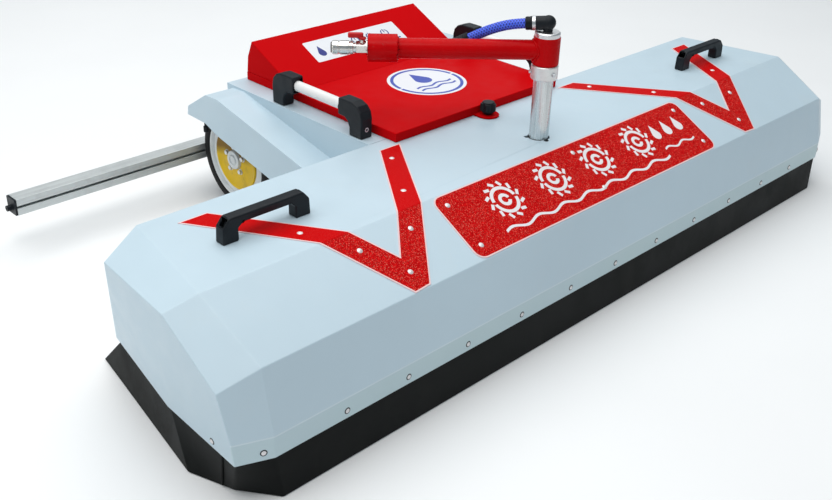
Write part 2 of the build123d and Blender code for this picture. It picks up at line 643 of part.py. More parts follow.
def make_bar_end_cap():
    y, z = BAR_REAR_Y - BAR / 2, BAR_TOP_Z - BAR / 2
    cap = block(BAR_END_X - 5, BAR_END_X, y - BAR / 2, y + BAR / 2, z - BAR / 2, z + BAR / 2)
    cap = fillet(cap.edges().filter_by(Axis.X), 3)
    head = rod(7, (BAR_END_X - 17, y, z - 4), (BAR_END_X - 5, y, z - 4))
    return cap + head - rod(3, (BAR_END_X - 18, y, z - 4), (BAR_END_X - 12, y, z - 4))


def make_post():
    post = ring(POST_R, POST_BORE_R, (POST_X, POST_Y, DECK_TOP_Z), (POST_X, POST_Y, COLLAR_Z))
    flange = ring(55, POST_R, (POST_X, POST_Y, DECK_TOP_Z), (POST_X, POST_Y, DECK_TOP_Z + 10))
    for i in range(4):
        angle = radians(45 + 90 * i)
        spot = (POST_X + 43 * cos(angle), POST_Y + 43 * sin(angle))
        flange -= rod(5.5, (*spot, DECK_TOP_Z - 1), (*spot, DECK_TOP_Z + 11))
    return post + flange


CORE_R = 19.0


def make_swivel_core():
    """Fixed half of the swivel: collar on the post and the core that the knuckle turns on."""
    collar = ring(29, POST_BORE_R, (POST_X, POST_Y, COLLAR_Z), (POST_X, POST_Y, KNUCKLE_Z))
    collar = chamfer(collar.edges().filter_by(GeomType.CIRCLE).filter_by(lambda e: e.radius > 28), 2)
    core_top = (POST_X, POST_Y, KNUCKLE_TOP_Z - 10)
    return collar + ring(CORE_R, POST_BORE_R, (POST_X, POST_Y, KNUCKLE_Z - 1), core_top)


def boom(radius, z, azimuth=BOOM_AZIMUTH):
    """A point on the boom: radius out from the post's axis, at height z."""
    a = radians(azimuth)
    return (POST_X + radius * cos(a), POST_Y + radius * sin(a), z)


KNUCKLE_R = 28.5
ARM_R = 21.0


def make_knuckle():
    low, top = KNUCKLE_Z + SKIN_GAP, KNUCKLE_TOP_Z
    knuckle = rod(KNUCKLE_R, (POST_X, POST_Y, low), (POST_X, POST_Y, top))
    knuckle = fillet(knuckle.edges().filter_by(GeomType.CIRCLE).sort_by(Axis.Z)[0], 3)
    return knuckle - rod(CORE_R + SHAFT_GAP, (POST_X, POST_Y, low - 1), (POST_X, POST_Y, top - 9))


def make_knuckle_cap():
    cap = rod(27, (POST_X, POST_Y, KNUCKLE_TOP_Z), (POST_X, POST_Y, KNUCKLE_TOP_Z + 11))
    return chamfer(cap.edges().filter_by(GeomType.CIRCLE).sort_by(Axis.Z)[-1], 2.5)


SLEEVE_IN, SLEEVE_OUT = 311.0, 373.0
SLEEVE_R = 29.0
VALVE_R = 11.0


def make_boom_arm():
    """Red tube welded into the knuckle, with the larger sleeve that holds the valve."""
    arm = rod(ARM_R, boom(0, BOOM_Z), boom(SLEEVE_IN + 5, BOOM_Z))
    arm -= rod(KNUCKLE_R, (POST_X, POST_Y, KNUCKLE_Z - 5), (POST_X, POST_Y, KNUCKLE_TOP_Z + 5))
    sleeve = rod(SLEEVE_R, boom(SLEEVE_IN, BOOM_Z), boom(SLEEVE_OUT, BOOM_Z))
    sleeve = fillet(sleeve.edges().filter_by(GeomType.CIRCLE), 2)
    bore = rod(15, boom(35, BOOM_Z), boom(SLEEVE_OUT - 20, BOOM_Z))
    return arm + sleeve - bore - rod(VALVE_R, boom(SLEEVE_OUT - 21, BOOM_Z), boom(SLEEVE_OUT + 1, BOOM_Z))


STEM_AT = 384.0
COUPLING_IN, COUPLING_OUT = 403.0, 447.0
INLET_R = 7.5


def hexagon_rod(across_flats, start, end):
    axis = Vector(*end) - Vector(*start)
    plane = Plane(origin=start, x_dir=(0, 0, 1), z_dir=axis)
    outline = RegularPolygon(across_flats / 2, 6, major_radius=False)
    return plane * extrude(outline, amount=axis.length)


def make_valve_body():
    """Ball valve body: thread in the sleeve, hexagon, stem boss, and the nose under the coupling."""
    body = rod(VALVE_R, boom(SLEEVE_OUT - 20, BOOM_Z), boom(COUPLING_OUT, BOOM_Z))
    body += hexagon_rod(25, boom(SLEEVE_OUT + 0.5, BOOM_Z), boom(COUPLING_IN - 6, BOOM_Z))
    body += rod(5.5, boom(STEM_AT, BOOM_Z), boom(STEM_AT, BOOM_Z + 17))
    return body - rod(INLET_R, boom(SLEEVE_OUT - 21, BOOM_Z), boom(COUPLING_OUT + 1, BOOM_Z))


def make_valve_lever():
    """Cranked lever: a washer on the stem and a raised grip along the boom."""
    low = BOOM_Z + 17.4
    hub = rod(8, boom(STEM_AT, low), boom(STEM_AT, low + 5))
    grip = Box(32, 11, 10, align=(Align.MIN, Align.CENTER, Align.MIN))
    grip = fillet(grip.edges().filter_by(Axis.Z), 4)
    turned = Plane(origin=boom(STEM_AT - 2, low + 4), x_dir=Vector(*boom(1, 0)) - Vector(*boom(0, 0)))
    return hub + turned * grip


def make_coupling_sleeve():
    sleeve = ring(14.5, VALVE_R + 0.3, boom(COUPLING_IN, BOOM_Z), boom(COUPLING_OUT, BOOM_Z))
    for radius in (COUPLING_IN + 8, COUPLING_IN + 14, COUPLING_IN + 20):
        sleeve -= ring(16, 13.6, boom(radius, BOOM_Z), boom(radius + 3, BOOM_Z))
    return sleeve


# Water hose from the arm's elbow to the swivel's elbow: (distance from the post's axis, height). It lies
# in an upright plane turned away from the arm, so that it ends beside the arm.
HOSE_AZIMUTH = 126.0
HOSE_ROUTE = [(172, 527.5), (138, 547), (101, 563), (66, 572), (36, 575)]


def hose_points():
    return [Vector(*boom(radius, z, HOSE_AZIMUTH)) for radius, z in HOSE_ROUTE]


def make_hose():
    points = hose_points()
    radii = []
    for before, here, after in zip(points, points[1:], points[2:]):
        turn = (here - before).get_angle(after - here)
        shorter = min((here - before).length, (after - here).length)
        radii.append(0.45 * shorter / sin(radians(turn / 2)) * cos(radians(turn / 2)))
    path = FilletPolyline(*points, radius=radii)
    section = Plane(origin=points[0], z_dir=points[1] - points[0]) * Circle(HOSE_R)
    tube = sweep(section, path=path)
    print("hose radii", [round(r) for r in radii], "length", round(path.length, 1),
          "volume ratio", round(tube.volume / (pi * HOSE_R ** 2 * path.length), 4))
    return tube


ELBOW_R = 14.5


def make_arm_elbow():
    """Black elbow on the arm's rear side, with a socket that takes the hose."""
    first, second = hose_points()[:2]
    bend = first + (first - second).normalized() * 22
    socket = rod(ELBOW_R, tuple(bend), tuple(first))
    ball = Pos(*bend) * Sphere(ELBOW_R + 1)
    arm_start, arm_end = Vector(*boom(60, BOOM_Z)), Vector(*boom(300, BOOM_Z))
    along = (arm_end - arm_start).normalized()
    foot = arm_start + along * (bend - arm_start).dot(along)
    stem = rod(ELBOW_R - 2, tuple(bend), tuple(foot))
    return socket + ball + stem - rod(ARM_R + 0.02, tuple(arm_start), tuple(arm_end))


def make_top_elbow():
    """Black elbow on the swivel's cap, facing along the hose."""
    before, last = hose_points()[-2:]
    bend = last + (last - before) * 1.2
    socket = rod(ELBOW_R, tuple(last), tuple(bend))
    stem = rod(10, (POST_X, POST_Y, KNUCKLE_TOP_Z + 11), tuple(bend))
    return socket + Pos(*bend) * Sphere(ELBOW_R + 1) + stem


def write_all():
    hood = make_hood() - rod(LATCH_STEM_R + 3, (0, LATCH_Y, 300), (0, LATCH_Y, 340))
    write("head_hood", hood)
    write("head_skirt", make_skirt())
    write("name_plate", make_name_plate())
    write("chevron_left", make_chevron())
    write("chevron_right", flip(make_chevron()))
    write("trim_rivets", make_trim_rivets())
    write("band_rivets", make_band_rivets())
    write("lift_handle_right", make_lift_handle())
    write("lift_handle_left", flip(make_lift_handle()))
    write("handle_screws", make_handle_screws())
    write("head_frame", make_head_frame())
    write("deck_plate", make_deck_plate())
    write("spray_pipe", make_spray_pipe())
    for number, x in enumerate(BRUSH_X, start=1):
        write(f"brush_motor_{number}", make_brush_motor(x))
        write(f"brush_{number}", make_brush(x))
    write("chassis_frame", make_chassis_frame())
    write("body_cover", make_body_cover())
    write("fender_right", make_fender())
    write("fender_left", flip(make_fender()))
    write("equipment_tray", make_equipment_tray())
    write("battery_pack", make_battery_pack())
    write("control_box", make_control_box())
    write("lid", make_lid())
    write("console", make_console())
    write("latch_knob", make_latch_knob())
    write("hinge_base_leaf", make_hinge_leaf(0))
    write("hinge_lid_leaf", make_hinge_leaf(1))
    write("hinge_pin", make_hinge_pin())
    for side, name in ((-1, "left"), (1, "right")):
        write(f"side_handle_brackets_{name}", make_side_brackets(side))
        write(f"side_handle_tube_{name}", make_side_tube(side))
        turn = flip if side < 0 else (lambda shape: shape)
        write(f"tyre_{name}", turn(make_tyre()))
        write(f"rim_{name}", turn(make_rim()))
        write(f"wheel_disc_{name}", turn(make_wheel_disc()))
        write(f"wheel_motor_{name}", turn(make_wheel_motor()))
    write("axle_bearings", make_axle_bearings())
    write("guide_bar", make_guide_bar())
    write("bar_end_cap", make_bar_end_cap())
    write("post", make_post())
    write("swivel_core", make_swivel_core())
    write("swivel_knuckle", make_knuckle())
    write("knuckle_cap", make_knuckle_cap())
    write("boom_arm", make_boom_arm())
    write("valve_body", make_valve_body())
    write("valve_lever", make_valve_lever())
    write("coupling_sleeve", make_coupling_sleeve())
    write("arm_elbow", make_arm_elbow())
    write("top_elbow", make_top_elbow())
    write("water_hose", make_hose())


write_all()
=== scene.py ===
import json
from math import cos, degrees, pi, radians, sin, sqrt

import bmesh
import bpy
from mathutils import Matrix, Vector


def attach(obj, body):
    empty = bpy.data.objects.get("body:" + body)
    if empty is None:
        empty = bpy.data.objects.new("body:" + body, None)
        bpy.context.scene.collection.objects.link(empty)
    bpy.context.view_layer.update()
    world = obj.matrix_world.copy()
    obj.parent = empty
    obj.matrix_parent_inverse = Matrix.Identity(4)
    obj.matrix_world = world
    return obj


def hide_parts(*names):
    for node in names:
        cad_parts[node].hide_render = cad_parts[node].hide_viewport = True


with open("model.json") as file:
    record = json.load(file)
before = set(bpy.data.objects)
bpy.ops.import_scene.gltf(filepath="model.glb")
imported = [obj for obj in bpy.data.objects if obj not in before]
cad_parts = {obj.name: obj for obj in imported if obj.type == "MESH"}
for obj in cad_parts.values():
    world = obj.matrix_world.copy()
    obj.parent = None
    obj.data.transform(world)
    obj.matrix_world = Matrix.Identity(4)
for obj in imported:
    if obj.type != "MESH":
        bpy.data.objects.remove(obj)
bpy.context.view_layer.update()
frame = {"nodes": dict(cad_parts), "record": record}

# Metres throughout. +X runs along the washing head, +Y to the rear, +Z up.
RECORD = frame["record"]
BODY_OF = {node: body for body, nodes in RECORD["behaviour"]["bodies"].items() for node in nodes}
SLOT_OF = {part["node"]: part["material_slot"] for part in RECORD["subparts"]}


# ---- camera, light and floor

SENSOR_MM, LENS_MM = 36.0, 44.857
CAMERA_PLACE = (-1.6917, -1.6145, 1.1846)
CAMERA_TURNS = radians(45.4), radians(28.622), radians(1.803)
# Name, place, the point it faces, its two sides, watts and colour.
SOFTBOXES = [
    ("softbox_top", (-0.3, 0.7, 4.2), (0, 0, 0), (6.5, 5.5), 212, (1.0, 0.99, 0.97)),
    ("softbox_left", (-3.8, 0.2, 1.7), (0, -0.2, 0.2), (2.4, 1.8), 16, (1.0, 0.97, 0.91)),
    ("softbox_front", (-1.5, -1.2, 4.0), (-0.3, -0.4, 0.3), (1.2, 1.2), 20, (1.0, 0.95, 0.92)),
    ("softbox_back", (4.0, 3.2, 2.0), (0.2, 0, 0.35), (1.6, 1.4), 5, (1.0, 1.0, 1.0)),
]
SKY_COLOR, SKY_STRENGTH = (0.86, 0.98, 1.06, 1), 0.33


def add_object(name, data):
    item = bpy.data.objects.new(name, data)
    bpy.context.collection.objects.link(item)
    return item


def add_camera():
    """The camera, turned from +Y towards +X by its yaw, tipped down and rolled a little."""
    data = bpy.data.cameras.new("camera")
    data.sensor_width = SENSOR_MM
    data.lens = LENS_MM
    camera = add_object("camera", data)
    yaw, down, roll = CAMERA_TURNS
    right = Vector((cos(yaw), -sin(yaw), 0))
    ahead = Vector((sin(yaw) * cos(down), cos(yaw) * cos(down), -sin(down)))
    up = right.cross(ahead)
    tilted_right = right * cos(roll) + up * sin(roll)
    tilted_up = up * cos(roll) - right * sin(roll)
    turn = Matrix((tilted_right, tilted_up, -ahead)).transposed().to_4x4()
    camera.matrix_world = Matrix.Translation(CAMERA_PLACE) @ turn
    bpy.context.scene.camera = camera


def add_area_light(name, place, target, size, power, color):
    data = bpy.data.lights.new(name, "AREA")
    data.shape = "RECTANGLE"
    data.size, data.size_y = size
    data.energy = power
    data.color = color
    lamp = add_object(name, data)
    lamp.location = place
    lamp.rotation_euler = (Vector(target) - Vector(place)).to_track_quat("-Z", "Y").to_euler()


def add_studio():
    for softbox in SOFTBOXES:
        add_area_light(*softbox)
    world = bpy.data.worlds.new("studio")
    world.use_nodes = True
    background = world.node_tree.nodes["Background"]
    background.inputs["Color"].default_value = SKY_COLOR
    background.inputs["Strength"].default_value = SKY_STRENGTH
    bpy.context.scene.world = world
    bpy.context.scene.view_settings.view_transform = "Standard"


# ---- materials

# The mix node's sockets for colours come after those for numbers and vectors.
MIX_COLOR_A, MIX_COLOR_B, MIX_COLOR_OUT = 6, 7, 2
# The bend between the hood's band and its front face, and where its front face lies.
HOOD_FOLD_Z = 0.13
HOOD_FRONT_Y = (-0.519, -0.5225)
# Where the red film bends from the front slope to the flat top, above which its painted glints fade.
FILM_BEND_Z = (0.3258, 0.3268)
# Above this height the wheel discs carry a brown stain and painted shade from the fender.
WHEEL_STAIN_AND_SHADE_Z = (0.13, 0.155)


class Surface:
    """A procedural material, with short calls for the nodes that it is made of."""

    def __init__(self, name, color, roughness=0.5, metallic=0.0, **sockets):
        self.material = bpy.data.materials.new(name)
        self.material.use_nodes = True
        self.tree = self.material.node_tree
        self.shader = self.tree.nodes["Principled BSDF"]
        self.set("Base Color", (*color, 1))
        self.set("Roughness", roughness)
        self.set("Metallic", metallic)
        for socket, value in sockets.items():
            self.set(socket.replace("_", " ").title().replace("Ior", "IOR"), value)
        self.place = self.node("ShaderNodeTexCoord").outputs["Object"]
        self.last_normal = None

    def set(self, socket, value):
        self.shader.inputs[socket].default_value = value

    def node(self, kind):
        return self.tree.nodes.new(kind)

    def link(self, source, target):
        self.tree.links.new(source, target)

    def to_shader(self, source, socket):
        self.link(source, self.shader.inputs[socket])

    def stretched(self, scale):
        mapping = self.node("ShaderNodeMapping")
        self.link(self.place, mapping.inputs["Vector"])
        mapping.inputs["Scale"].default_value = scale
        return mapping.outputs["Vector"]

    def noise(self, scale, detail=3.0, stretch=None, rough=0.5):
        texture = self.node("ShaderNodeTexNoise")
        self.link(self.stretched(stretch) if stretch else self.place, texture.inputs["Vector"])
        texture.inputs["Scale"].default_value = scale
        texture.inputs["Detail"].default_value = detail
        texture.inputs["Roughness"].default_value = rough
        return texture.outputs["Fac"]

    def cells(self, scale, output="Color"):
        texture = self.node("ShaderNodeTexVoronoi")
        self.link(self.place, texture.inputs["Vector"])
        texture.inputs["Scale"].default_value = scale
        return texture.outputs[output]

    def ramp(self, source, low, high, out_low=0.0, out_high=1.0):
        """Maps low to out_low and high to out_high, evenly between them and level beyond."""
        ranged = self.node("ShaderNodeMapRange")
        self.link(source, ranged.inputs["Value"])
        ends = {"From Min": low, "From Max": high, "To Min": out_low, "To Max": out_high}
        for socket, value in ends.items():
            ranged.inputs[socket].default_value = value
        return ranged.outputs["Result"]

    def math(self, operation, a, b):
        step = self.node("ShaderNodeMath")
        step.operation = operation
        for socket, value in zip(step.inputs, (a, b)):
            if isinstance(value, (int, float)):
                socket.default_value = value
            else:
                self.link(value, socket)
        return step.outputs[0]

    def mix(self, share, a, b):
        """Blends two colours, given as triples or sockets, by a share from 0 to 1."""
        mixer = self.node("ShaderNodeMix")
        mixer.data_type = "RGBA"
        self.link(share, mixer.inputs["Factor"])
        for socket, value in ((mixer.inputs[MIX_COLOR_A], a), (mixer.inputs[MIX_COLOR_B], b)):
            if isinstance(value, tuple):
                socket.default_value = (*value, 1)
            else:
                self.link(value, socket)
        return mixer.outputs[MIX_COLOR_OUT]

    def mottled(self, noise, color, share):
        """The colour, clouded with a darker share of itself."""
        return self.mix(self.ramp(noise, 0.3, 0.7), darker(color, share), color)

    def vary_roughness(self, scale, low, high):
        self.to_shader(self.ramp(self.noise(scale, 4), 0.3, 0.7, low, high), "Roughness")

    def bump(self, height, distance, strength):
        bumper = self.node("ShaderNodeBump")
        bumper.inputs["Distance"].default_value = distance
        bumper.inputs["Strength"].default_value = strength
        self.link(height, bumper.inputs["Height"])
        if self.last_normal:
            self.link(self.last_normal, bumper.inputs["Normal"])
        self.last_normal = bumper.outputs["Normal"]
        self.to_shader(self.last_normal, "Normal")

    def along(self, axis):
        """Position along an axis of the machine, as in height along Z."""
        position = self.node("ShaderNodeSeparateXYZ")
        self.link(self.place, position.inputs["Vector"])
        return position.outputs[axis]

    def edge_share(self, low, high):
        """1 along convex edges, where paint rubs thin."""
        geometry = self.node("ShaderNodeNewGeometry")
        return self.ramp(geometry.outputs["Pointiness"], low, high)


def darker(color, share):
    return tuple(channel * share for channel in color)


def powder_coat(name, color, gloss=0.38, wave=0.0006, shine=0.5, dust=(0.62, 0.62, 0.58), fold=None):
    """Powder-coated sheet: fine orange peel, faint panel waves, cloudy tone and a little dust.

    Below a fold's height, the front takes a duller tone; along the fold runs a painted highlight line.
    """
    paint = Surface(name, color, gloss, specular_ior_level=shine)
    cloud = paint.noise(3.2, 4, rough=0.55)
    tone = paint.mottled(cloud, color, 0.94)
    specks = paint.ramp(paint.noise(420, 2), 0.7, 0.78, 0, 0.35)
    tone = paint.mix(specks, tone, dust)
    smudge = paint.ramp(paint.noise(9, 5, rough=0.7), 0.55, 0.8, 0, 0.1)
    tone = paint.mix(smudge, tone, dust)
    if fold:
        height = paint.along("Z")
        front = paint.ramp(paint.along("Y"), *HOOD_FRONT_Y)
        # The front below the fold takes a darker, duller tone.
        below = paint.ramp(height, fold, fold - 0.003)
        dull_band = paint.math("MULTIPLY", below, paint.ramp(cloud, 0.2, 0.8, 0.4, 1.0))
        dull = (color[0] * 0.93, color[1] * 0.95, color[2] * 0.87)
        tone = paint.mix(paint.math("MULTIPLY", dull_band, front), tone, dull)
        # Painted highlight: a thin pale line along the fold on the front.
        from_below = paint.ramp(height, fold - 0.0022, fold - 0.0004)
        from_above = paint.ramp(height, fold + 0.0018, fold, 0.0, 0.4)
        paler_share = paint.math("MULTIPLY", from_below, from_above)
        tone = paint.mix(paint.math("MULTIPLY", paler_share, front), tone, (0.8, 0.86, 0.88))
    paint.to_shader(tone, "Base Color")
    paint.vary_roughness(26, gloss - 0.06, gloss + 0.1)
    paint.bump(paint.noise(2.6, 2), wave, 1.0)
    paint.bump(paint.noise(700, 2), 0.00003, 0.6)
    return paint.material


def glitter_film(name):
    """Red metal-flake film with painted glints on its front slope; its flat top is painted a plainer red."""
    film = Surface(name, (0.62, 0.012, 0.012), 0.34, specular_ior_level=0.015)
    flakes = film.node("ShaderNodeSeparateColor")
    film.link(film.cells(820), flakes.inputs["Color"])
    bright = film.ramp(flakes.outputs["Red"], 0.35, 0.95)
    tone = film.mix(bright, (0.36, 0.002, 0.003), (0.8, 0.01, 0.01))
    # Painted glints: pale flakes, faint on the flat top.
    painted_glints = film.ramp(flakes.outputs["Green"], 0.84, 0.97, 0, 0.38)
    on_slope = film.ramp(film.along("Z"), *FILM_BEND_Z, 1.0, 0.1)
    painted_glints = film.math("MULTIPLY", painted_glints, on_slope)
    # Painted light: the flake tone on the slope, a plainer deeper red on the flat top.
    tone = film.mix(film.math("MULTIPLY", on_slope, 0.85), (0.56, 0.003, 0.004), tone)
    film.to_shader(film.mix(painted_glints, tone, (1.0, 0.36, 0.26)), "Base Color")
    film.to_shader(film.ramp(flakes.outputs["Blue"], 0, 1, 0.22, 0.5), "Roughness")
    film.bump(flakes.outputs["Blue"], 0.00012, 0.55)
    return film.material


def moulded_plastic(name, color, gloss=0.42, grain=1.0):
    """Moulded plastic with a fine spark-eroded grain and paler scuffs on its edges."""
    plastic = Surface(name, color, gloss, specular_ior_level=0.22)
    patches = plastic.ramp(plastic.noise(60, 4), 0.4, 0.65, 0, 0.5)
    scuff = plastic.math("MULTIPLY", plastic.edge_share(0.52, 0.62), patches)
    pale = tuple(channel * 0.7 + 0.05 for channel in color)
    tone = plastic.mottled(plastic.noise(18, 4), color, 0.8)
    plastic.to_shader(plastic.mix(scuff, tone, pale), "Base Color")
    plastic.vary_roughness(45, gloss - 0.08, gloss + 0.1)
    plastic.bump(plastic.noise(1500, 2), 0.00005 * grain, 0.5)
    return plastic.material


def rubber_sheet(name, color, dust, dust_height):
    """Black rubber with a fabric-pressed grain, chalky scuffs and dust that gathers near the floor."""
    rubber = Surface(name, color, 0.55, specular_ior_level=0.09)
    near_floor = rubber.ramp(rubber.along("Z"), dust_height, 0.0, 0.0, 0.22)
    cloud = rubber.ramp(rubber.noise(7, 6, rough=0.65), 0.42, 0.72)
    streak = rubber.ramp(rubber.noise(14, 4, stretch=(1.0, 1.0, 0.18)), 0.45, 0.75, 0, 0.16)
    share = rubber.math("MULTIPLY", rubber.math("ADD", near_floor, streak), cloud)
    rubber.to_shader(rubber.mix(share, color, dust), "Base Color")
    rubber.to_shader(rubber.ramp(cloud, 0, 1, 0.42, 0.68), "Roughness")
    rubber.bump(rubber.noise(4.0, 2), 0.0022, 0.7)
    rubber.bump(rubber.cells(900, "Distance"), 0.00006, 0.5)
    return rubber.material


def bare_metal(name, color, gloss, grain, stretch=(1, 1, 1), metallic=1.0, grime=0.35, streaks=0.82):
    """Drawn or brushed metal: fine streaks, faint stains and darker grime in patches."""
    metal = Surface(name, color, gloss, metallic)
    streak = metal.noise(grain, 5, stretch=stretch, rough=0.6)
    darkening = metal.ramp(metal.noise(16, 5, rough=0.65), 0.5, 0.8, 0, grime)
    # Deep streaks, as on the galvanised tube, stand partly for painted reflections.
    tone = metal.mottled(streak, color, streaks)
    metal.to_shader(metal.mix(darkening, tone, darker(color, 0.5)), "Base Color")
    metal.to_shader(metal.ramp(streak, 0.25, 0.75, gloss - 0.08, gloss + 0.14), "Roughness")
    metal.bump(streak, 0.00004, 0.5)
    return metal.material


def gloss_enamel(name, color, gloss=0.22):
    """Thick brushed-on enamel: wet gloss, soft runs and a few chips on the edges."""
    enamel = Surface(name, color, gloss, specular_ior_level=0.06)
    tone = enamel.mottled(enamel.noise(14, 4), color, 0.82)
    patches = enamel.ramp(enamel.noise(150, 3), 0.62, 0.7, 0, 0.5)
    chips = enamel.math("MULTIPLY", enamel.edge_share(0.58, 0.68), patches)
    enamel.to_shader(enamel.mix(chips, tone, (0.16, 0.12, 0.11)), "Base Color")
    enamel.vary_roughness(50, gloss - 0.05, gloss + 0.12)
    enamel.bump(enamel.noise(45, 3), 0.0003, 0.4)
    return enamel.material


def wheel_paint(name, color, grime_color=(0.1, 0.055, 0.02), darkening=None):
    """Paint on a pressed wheel, with rusty grime; brown stain and painted fender shade darken the dish's top.
    """
    paint = Surface(name, color, 0.42, specular_ior_level=0.35)
    tone = paint.mottled(paint.noise(30, 4), color, 0.85)
    grime = paint.ramp(paint.noise(22, 6, rough=0.7), 0.54, 0.8, 0, 0.55)
    tone = paint.mix(grime, tone, grime_color)
    if darkening:
        uneven = paint.ramp(paint.noise(20, 4), 0, 1, -0.012, 0.012)
        edge = paint.math("ADD", paint.along("Z"), uneven)
        # Brown stain and painted fender shade over the dish above its middle.
        tone = paint.mix(paint.ramp(edge, *WHEEL_STAIN_AND_SHADE_Z, 0, 0.85), tone, darkening)
    paint.to_shader(tone, "Base Color")
    paint.vary_roughness(60, 0.34, 0.6)
    paint.bump(paint.noise(120, 3), 0.0001, 0.5)
    return paint.material


def braid_cover(name):
    """Blue braided hose cover; the mesh's braid attribute says how high a strand lies."""
    cover = Surface(name, (0.035, 0.075, 0.6), 0.38, specular_ior_level=0.35)
    braid = cover.node("ShaderNodeAttribute")
    braid.attribute_name = "braid"
    tone = cover.mix(cover.ramp(braid.outputs["Fac"], 0.3, 0.9), (0.004, 0.01, 0.16), (0.06, 0.13, 0.86))
    fleck = cover.ramp(cover.noise(800, 2), 0.62, 0.72, 0, 0.5)
    cover.to_shader(cover.mix(fleck, tone, (0.42, 0.52, 0.95)), "Base Color")
    cover.bump(cover.noise(1600, 2), 0.00008, 0.5)
    return cover.material


def bristle_bundle(name):
    """Packed nylon bristles: fine upright streaks in a dark blue-black."""
    nylon = Surface(name, (0.02, 0.03, 0.09), 0.5)
    hair = nylon.noise(420, 3, stretch=(1, 1, 0.03))
    tone = nylon.mix(nylon.ramp(hair, 0.35, 0.65), (0.006, 0.008, 0.02), (0.04, 0.07, 0.22))
    nylon.to_shader(tone, "Base Color")
    nylon.bump(hair, 0.0012, 0.9)
    return nylon.material


def plain_label(name, color):
    """Printed vinyl: an even ink with a faint grain and paler worn patches."""
    vinyl = Surface(name, color, 0.3, specular_ior_level=0.35)
    paler_share = vinyl.ramp(vinyl.noise(70, 5), 0.55, 0.8, 0, 0.25)
    pale = tuple(channel * 0.8 + 0.1 for channel in color)
    vinyl.to_shader(vinyl.mix(paler_share, color, pale), "Base Color")
    vinyl.bump(vinyl.noise(900, 2), 0.00002, 0.5)
    return vinyl.material


def studio_floor(name):
    floor = Surface(name, (0.9, 0.905, 0.91), 0.7, specular_ior_level=0.2)
    cloud = floor.ramp(floor.noise(1.3, 4), 0.3, 0.7)
    tone = floor.mix(cloud, (0.885, 0.89, 0.895), (0.915, 0.92, 0.925))
    floor.to_shader(tone, "Base Color")
    return floor.material


PALE = (0.535, 0.667, 0.75)
RED = (0.56, 0.002, 0.004)
MATERIALS = {
    "hood_paint": powder_coat("pale_powder_coat", PALE, fold=HOOD_FOLD_Z),
    "body_paint": powder_coat("pale_powder_coat_rear", PALE, gloss=0.42),
    "lid_paint": powder_coat("red_powder_coat", RED, gloss=0.36, wave=0.0004, shine=0.012,
                             dust=(0.6, 0.012, 0.012)),
    "skirt_sheet": rubber_sheet("skirt_rubber", (0.0035, 0.0045, 0.0045), (0.06, 0.06, 0.055), 0.13),
    "trim_red": glitter_film("red_flake_film"),
    "trim_edge": powder_coat("pale_cut_edge", (0.88, 0.62, 0.62), gloss=0.4),
    # The galvanised tube's deep vertical streaks: part galvanising streaks, part painted reflections of the
    # studio.
    "post": bare_metal("galvanised_tube", (0.88, 0.93, 0.94), 0.24, 75, (1, 1, 0.03), 0.75, 0.2, streaks=0.5),
    "collar": bare_metal("pale_collar", (0.9, 0.92, 0.91), 0.45, 60, grime=0.12),
    "zinc": bare_metal("zinc_plate", (0.74, 0.76, 0.78), 0.34, 90, grime=0.2),
    "rivet": bare_metal("rivet_heads", (0.88, 0.85, 0.85), 0.4, 120, metallic=0.35, grime=0.15),
    "steel": bare_metal("rolled_steel", (0.5, 0.51, 0.52), 0.45, 24, (0.1, 1, 1)),
    "frame_paint": gloss_enamel("maroon_primer", (0.045, 0.01, 0.014), 0.55),
    "red_paint": gloss_enamel("red_enamel", RED),
    "black_plastic": moulded_plastic("black_plastic", (0.007, 0.01, 0.014)),
    "white_tube": powder_coat("white_enamel", (0.84, 0.84, 0.84), gloss=0.3, wave=0.0, dust=(0.5, 0.5, 0.5)),
    "bristle": bristle_bundle("nylon_bristle"),
    "motor_cast": bare_metal("cast_aluminium", (0.42, 0.43, 0.45), 0.55, 220),
    "battery_case": moulded_plastic("battery_plastic", (0.03, 0.035, 0.045), 0.5),
    "box_grey": powder_coat("enclosure_grey", (0.4, 0.42, 0.44), gloss=0.5),
    "tyre_rubber": rubber_sheet("tyre_rubber", (0.014, 0.014, 0.015), (0.1, 0.095, 0.085), 0.27),
    "rim_white": wheel_paint("rim_paint", (0.74, 0.77, 0.78), (0.3, 0.24, 0.18)),
    # The disc's brown top is part stain, part painted shade from the fender.
    "disc_yellow": wheel_paint("disc_paint", (0.8, 0.52, 0.008), darkening=(0.16, 0.075, 0.02)),
    "profile_alu": bare_metal("anodised_profile", (0.72, 0.75, 0.75), 0.5, 160, (0.02, 1, 1)),
    "silver_alu": bare_metal("turned_aluminium", (0.84, 0.84, 0.85), 0.3, 60, (0.2, 0.2, 6)),
    "brass_plated": bare_metal("nickel_plate", (0.78, 0.76, 0.72), 0.2, 70, grime=0.25),
    "lever_red": moulded_plastic("red_grip", (0.6, 0.01, 0.014), 0.35, 0.6),
    "hose_blue": braid_cover("blue_braid"),
}


# ---- mesh helpers

def place(piece, body, slot, material=None, node=None):
    """Gives a finished piece a material, by default that of its slot, and lets it ride on its body."""
    if piece.name not in bpy.context.collection.objects:
        bpy.context.collection.objects.link(piece)
    if not piece.data.materials:
        piece.data.materials.append(MATERIALS[material or slot])
    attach(piece, body)
    if node:
        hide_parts(node)
    return piece


def carried_frames(points, normal):
    """Each point with two directions across the line, carried along it without a twist."""
    for i, point in enumerate(points):
        tangent = (points[min(i + 1, len(points) - 1)] - points[max(i - 1, 0)]).normalized()
        normal = (normal - tangent * normal.dot(tangent)).normalized()
        yield point, normal, tangent.cross(normal)


def add_ring(bm, centre, one, two, radius, steps):
    """A ring of vertices in the plane of two directions."""
    turns = [2 * pi * j / steps for j in range(steps)]
    return [bm.verts.new(centre + (one * cos(turn) + two * sin(turn)) * radius) for turn in turns]


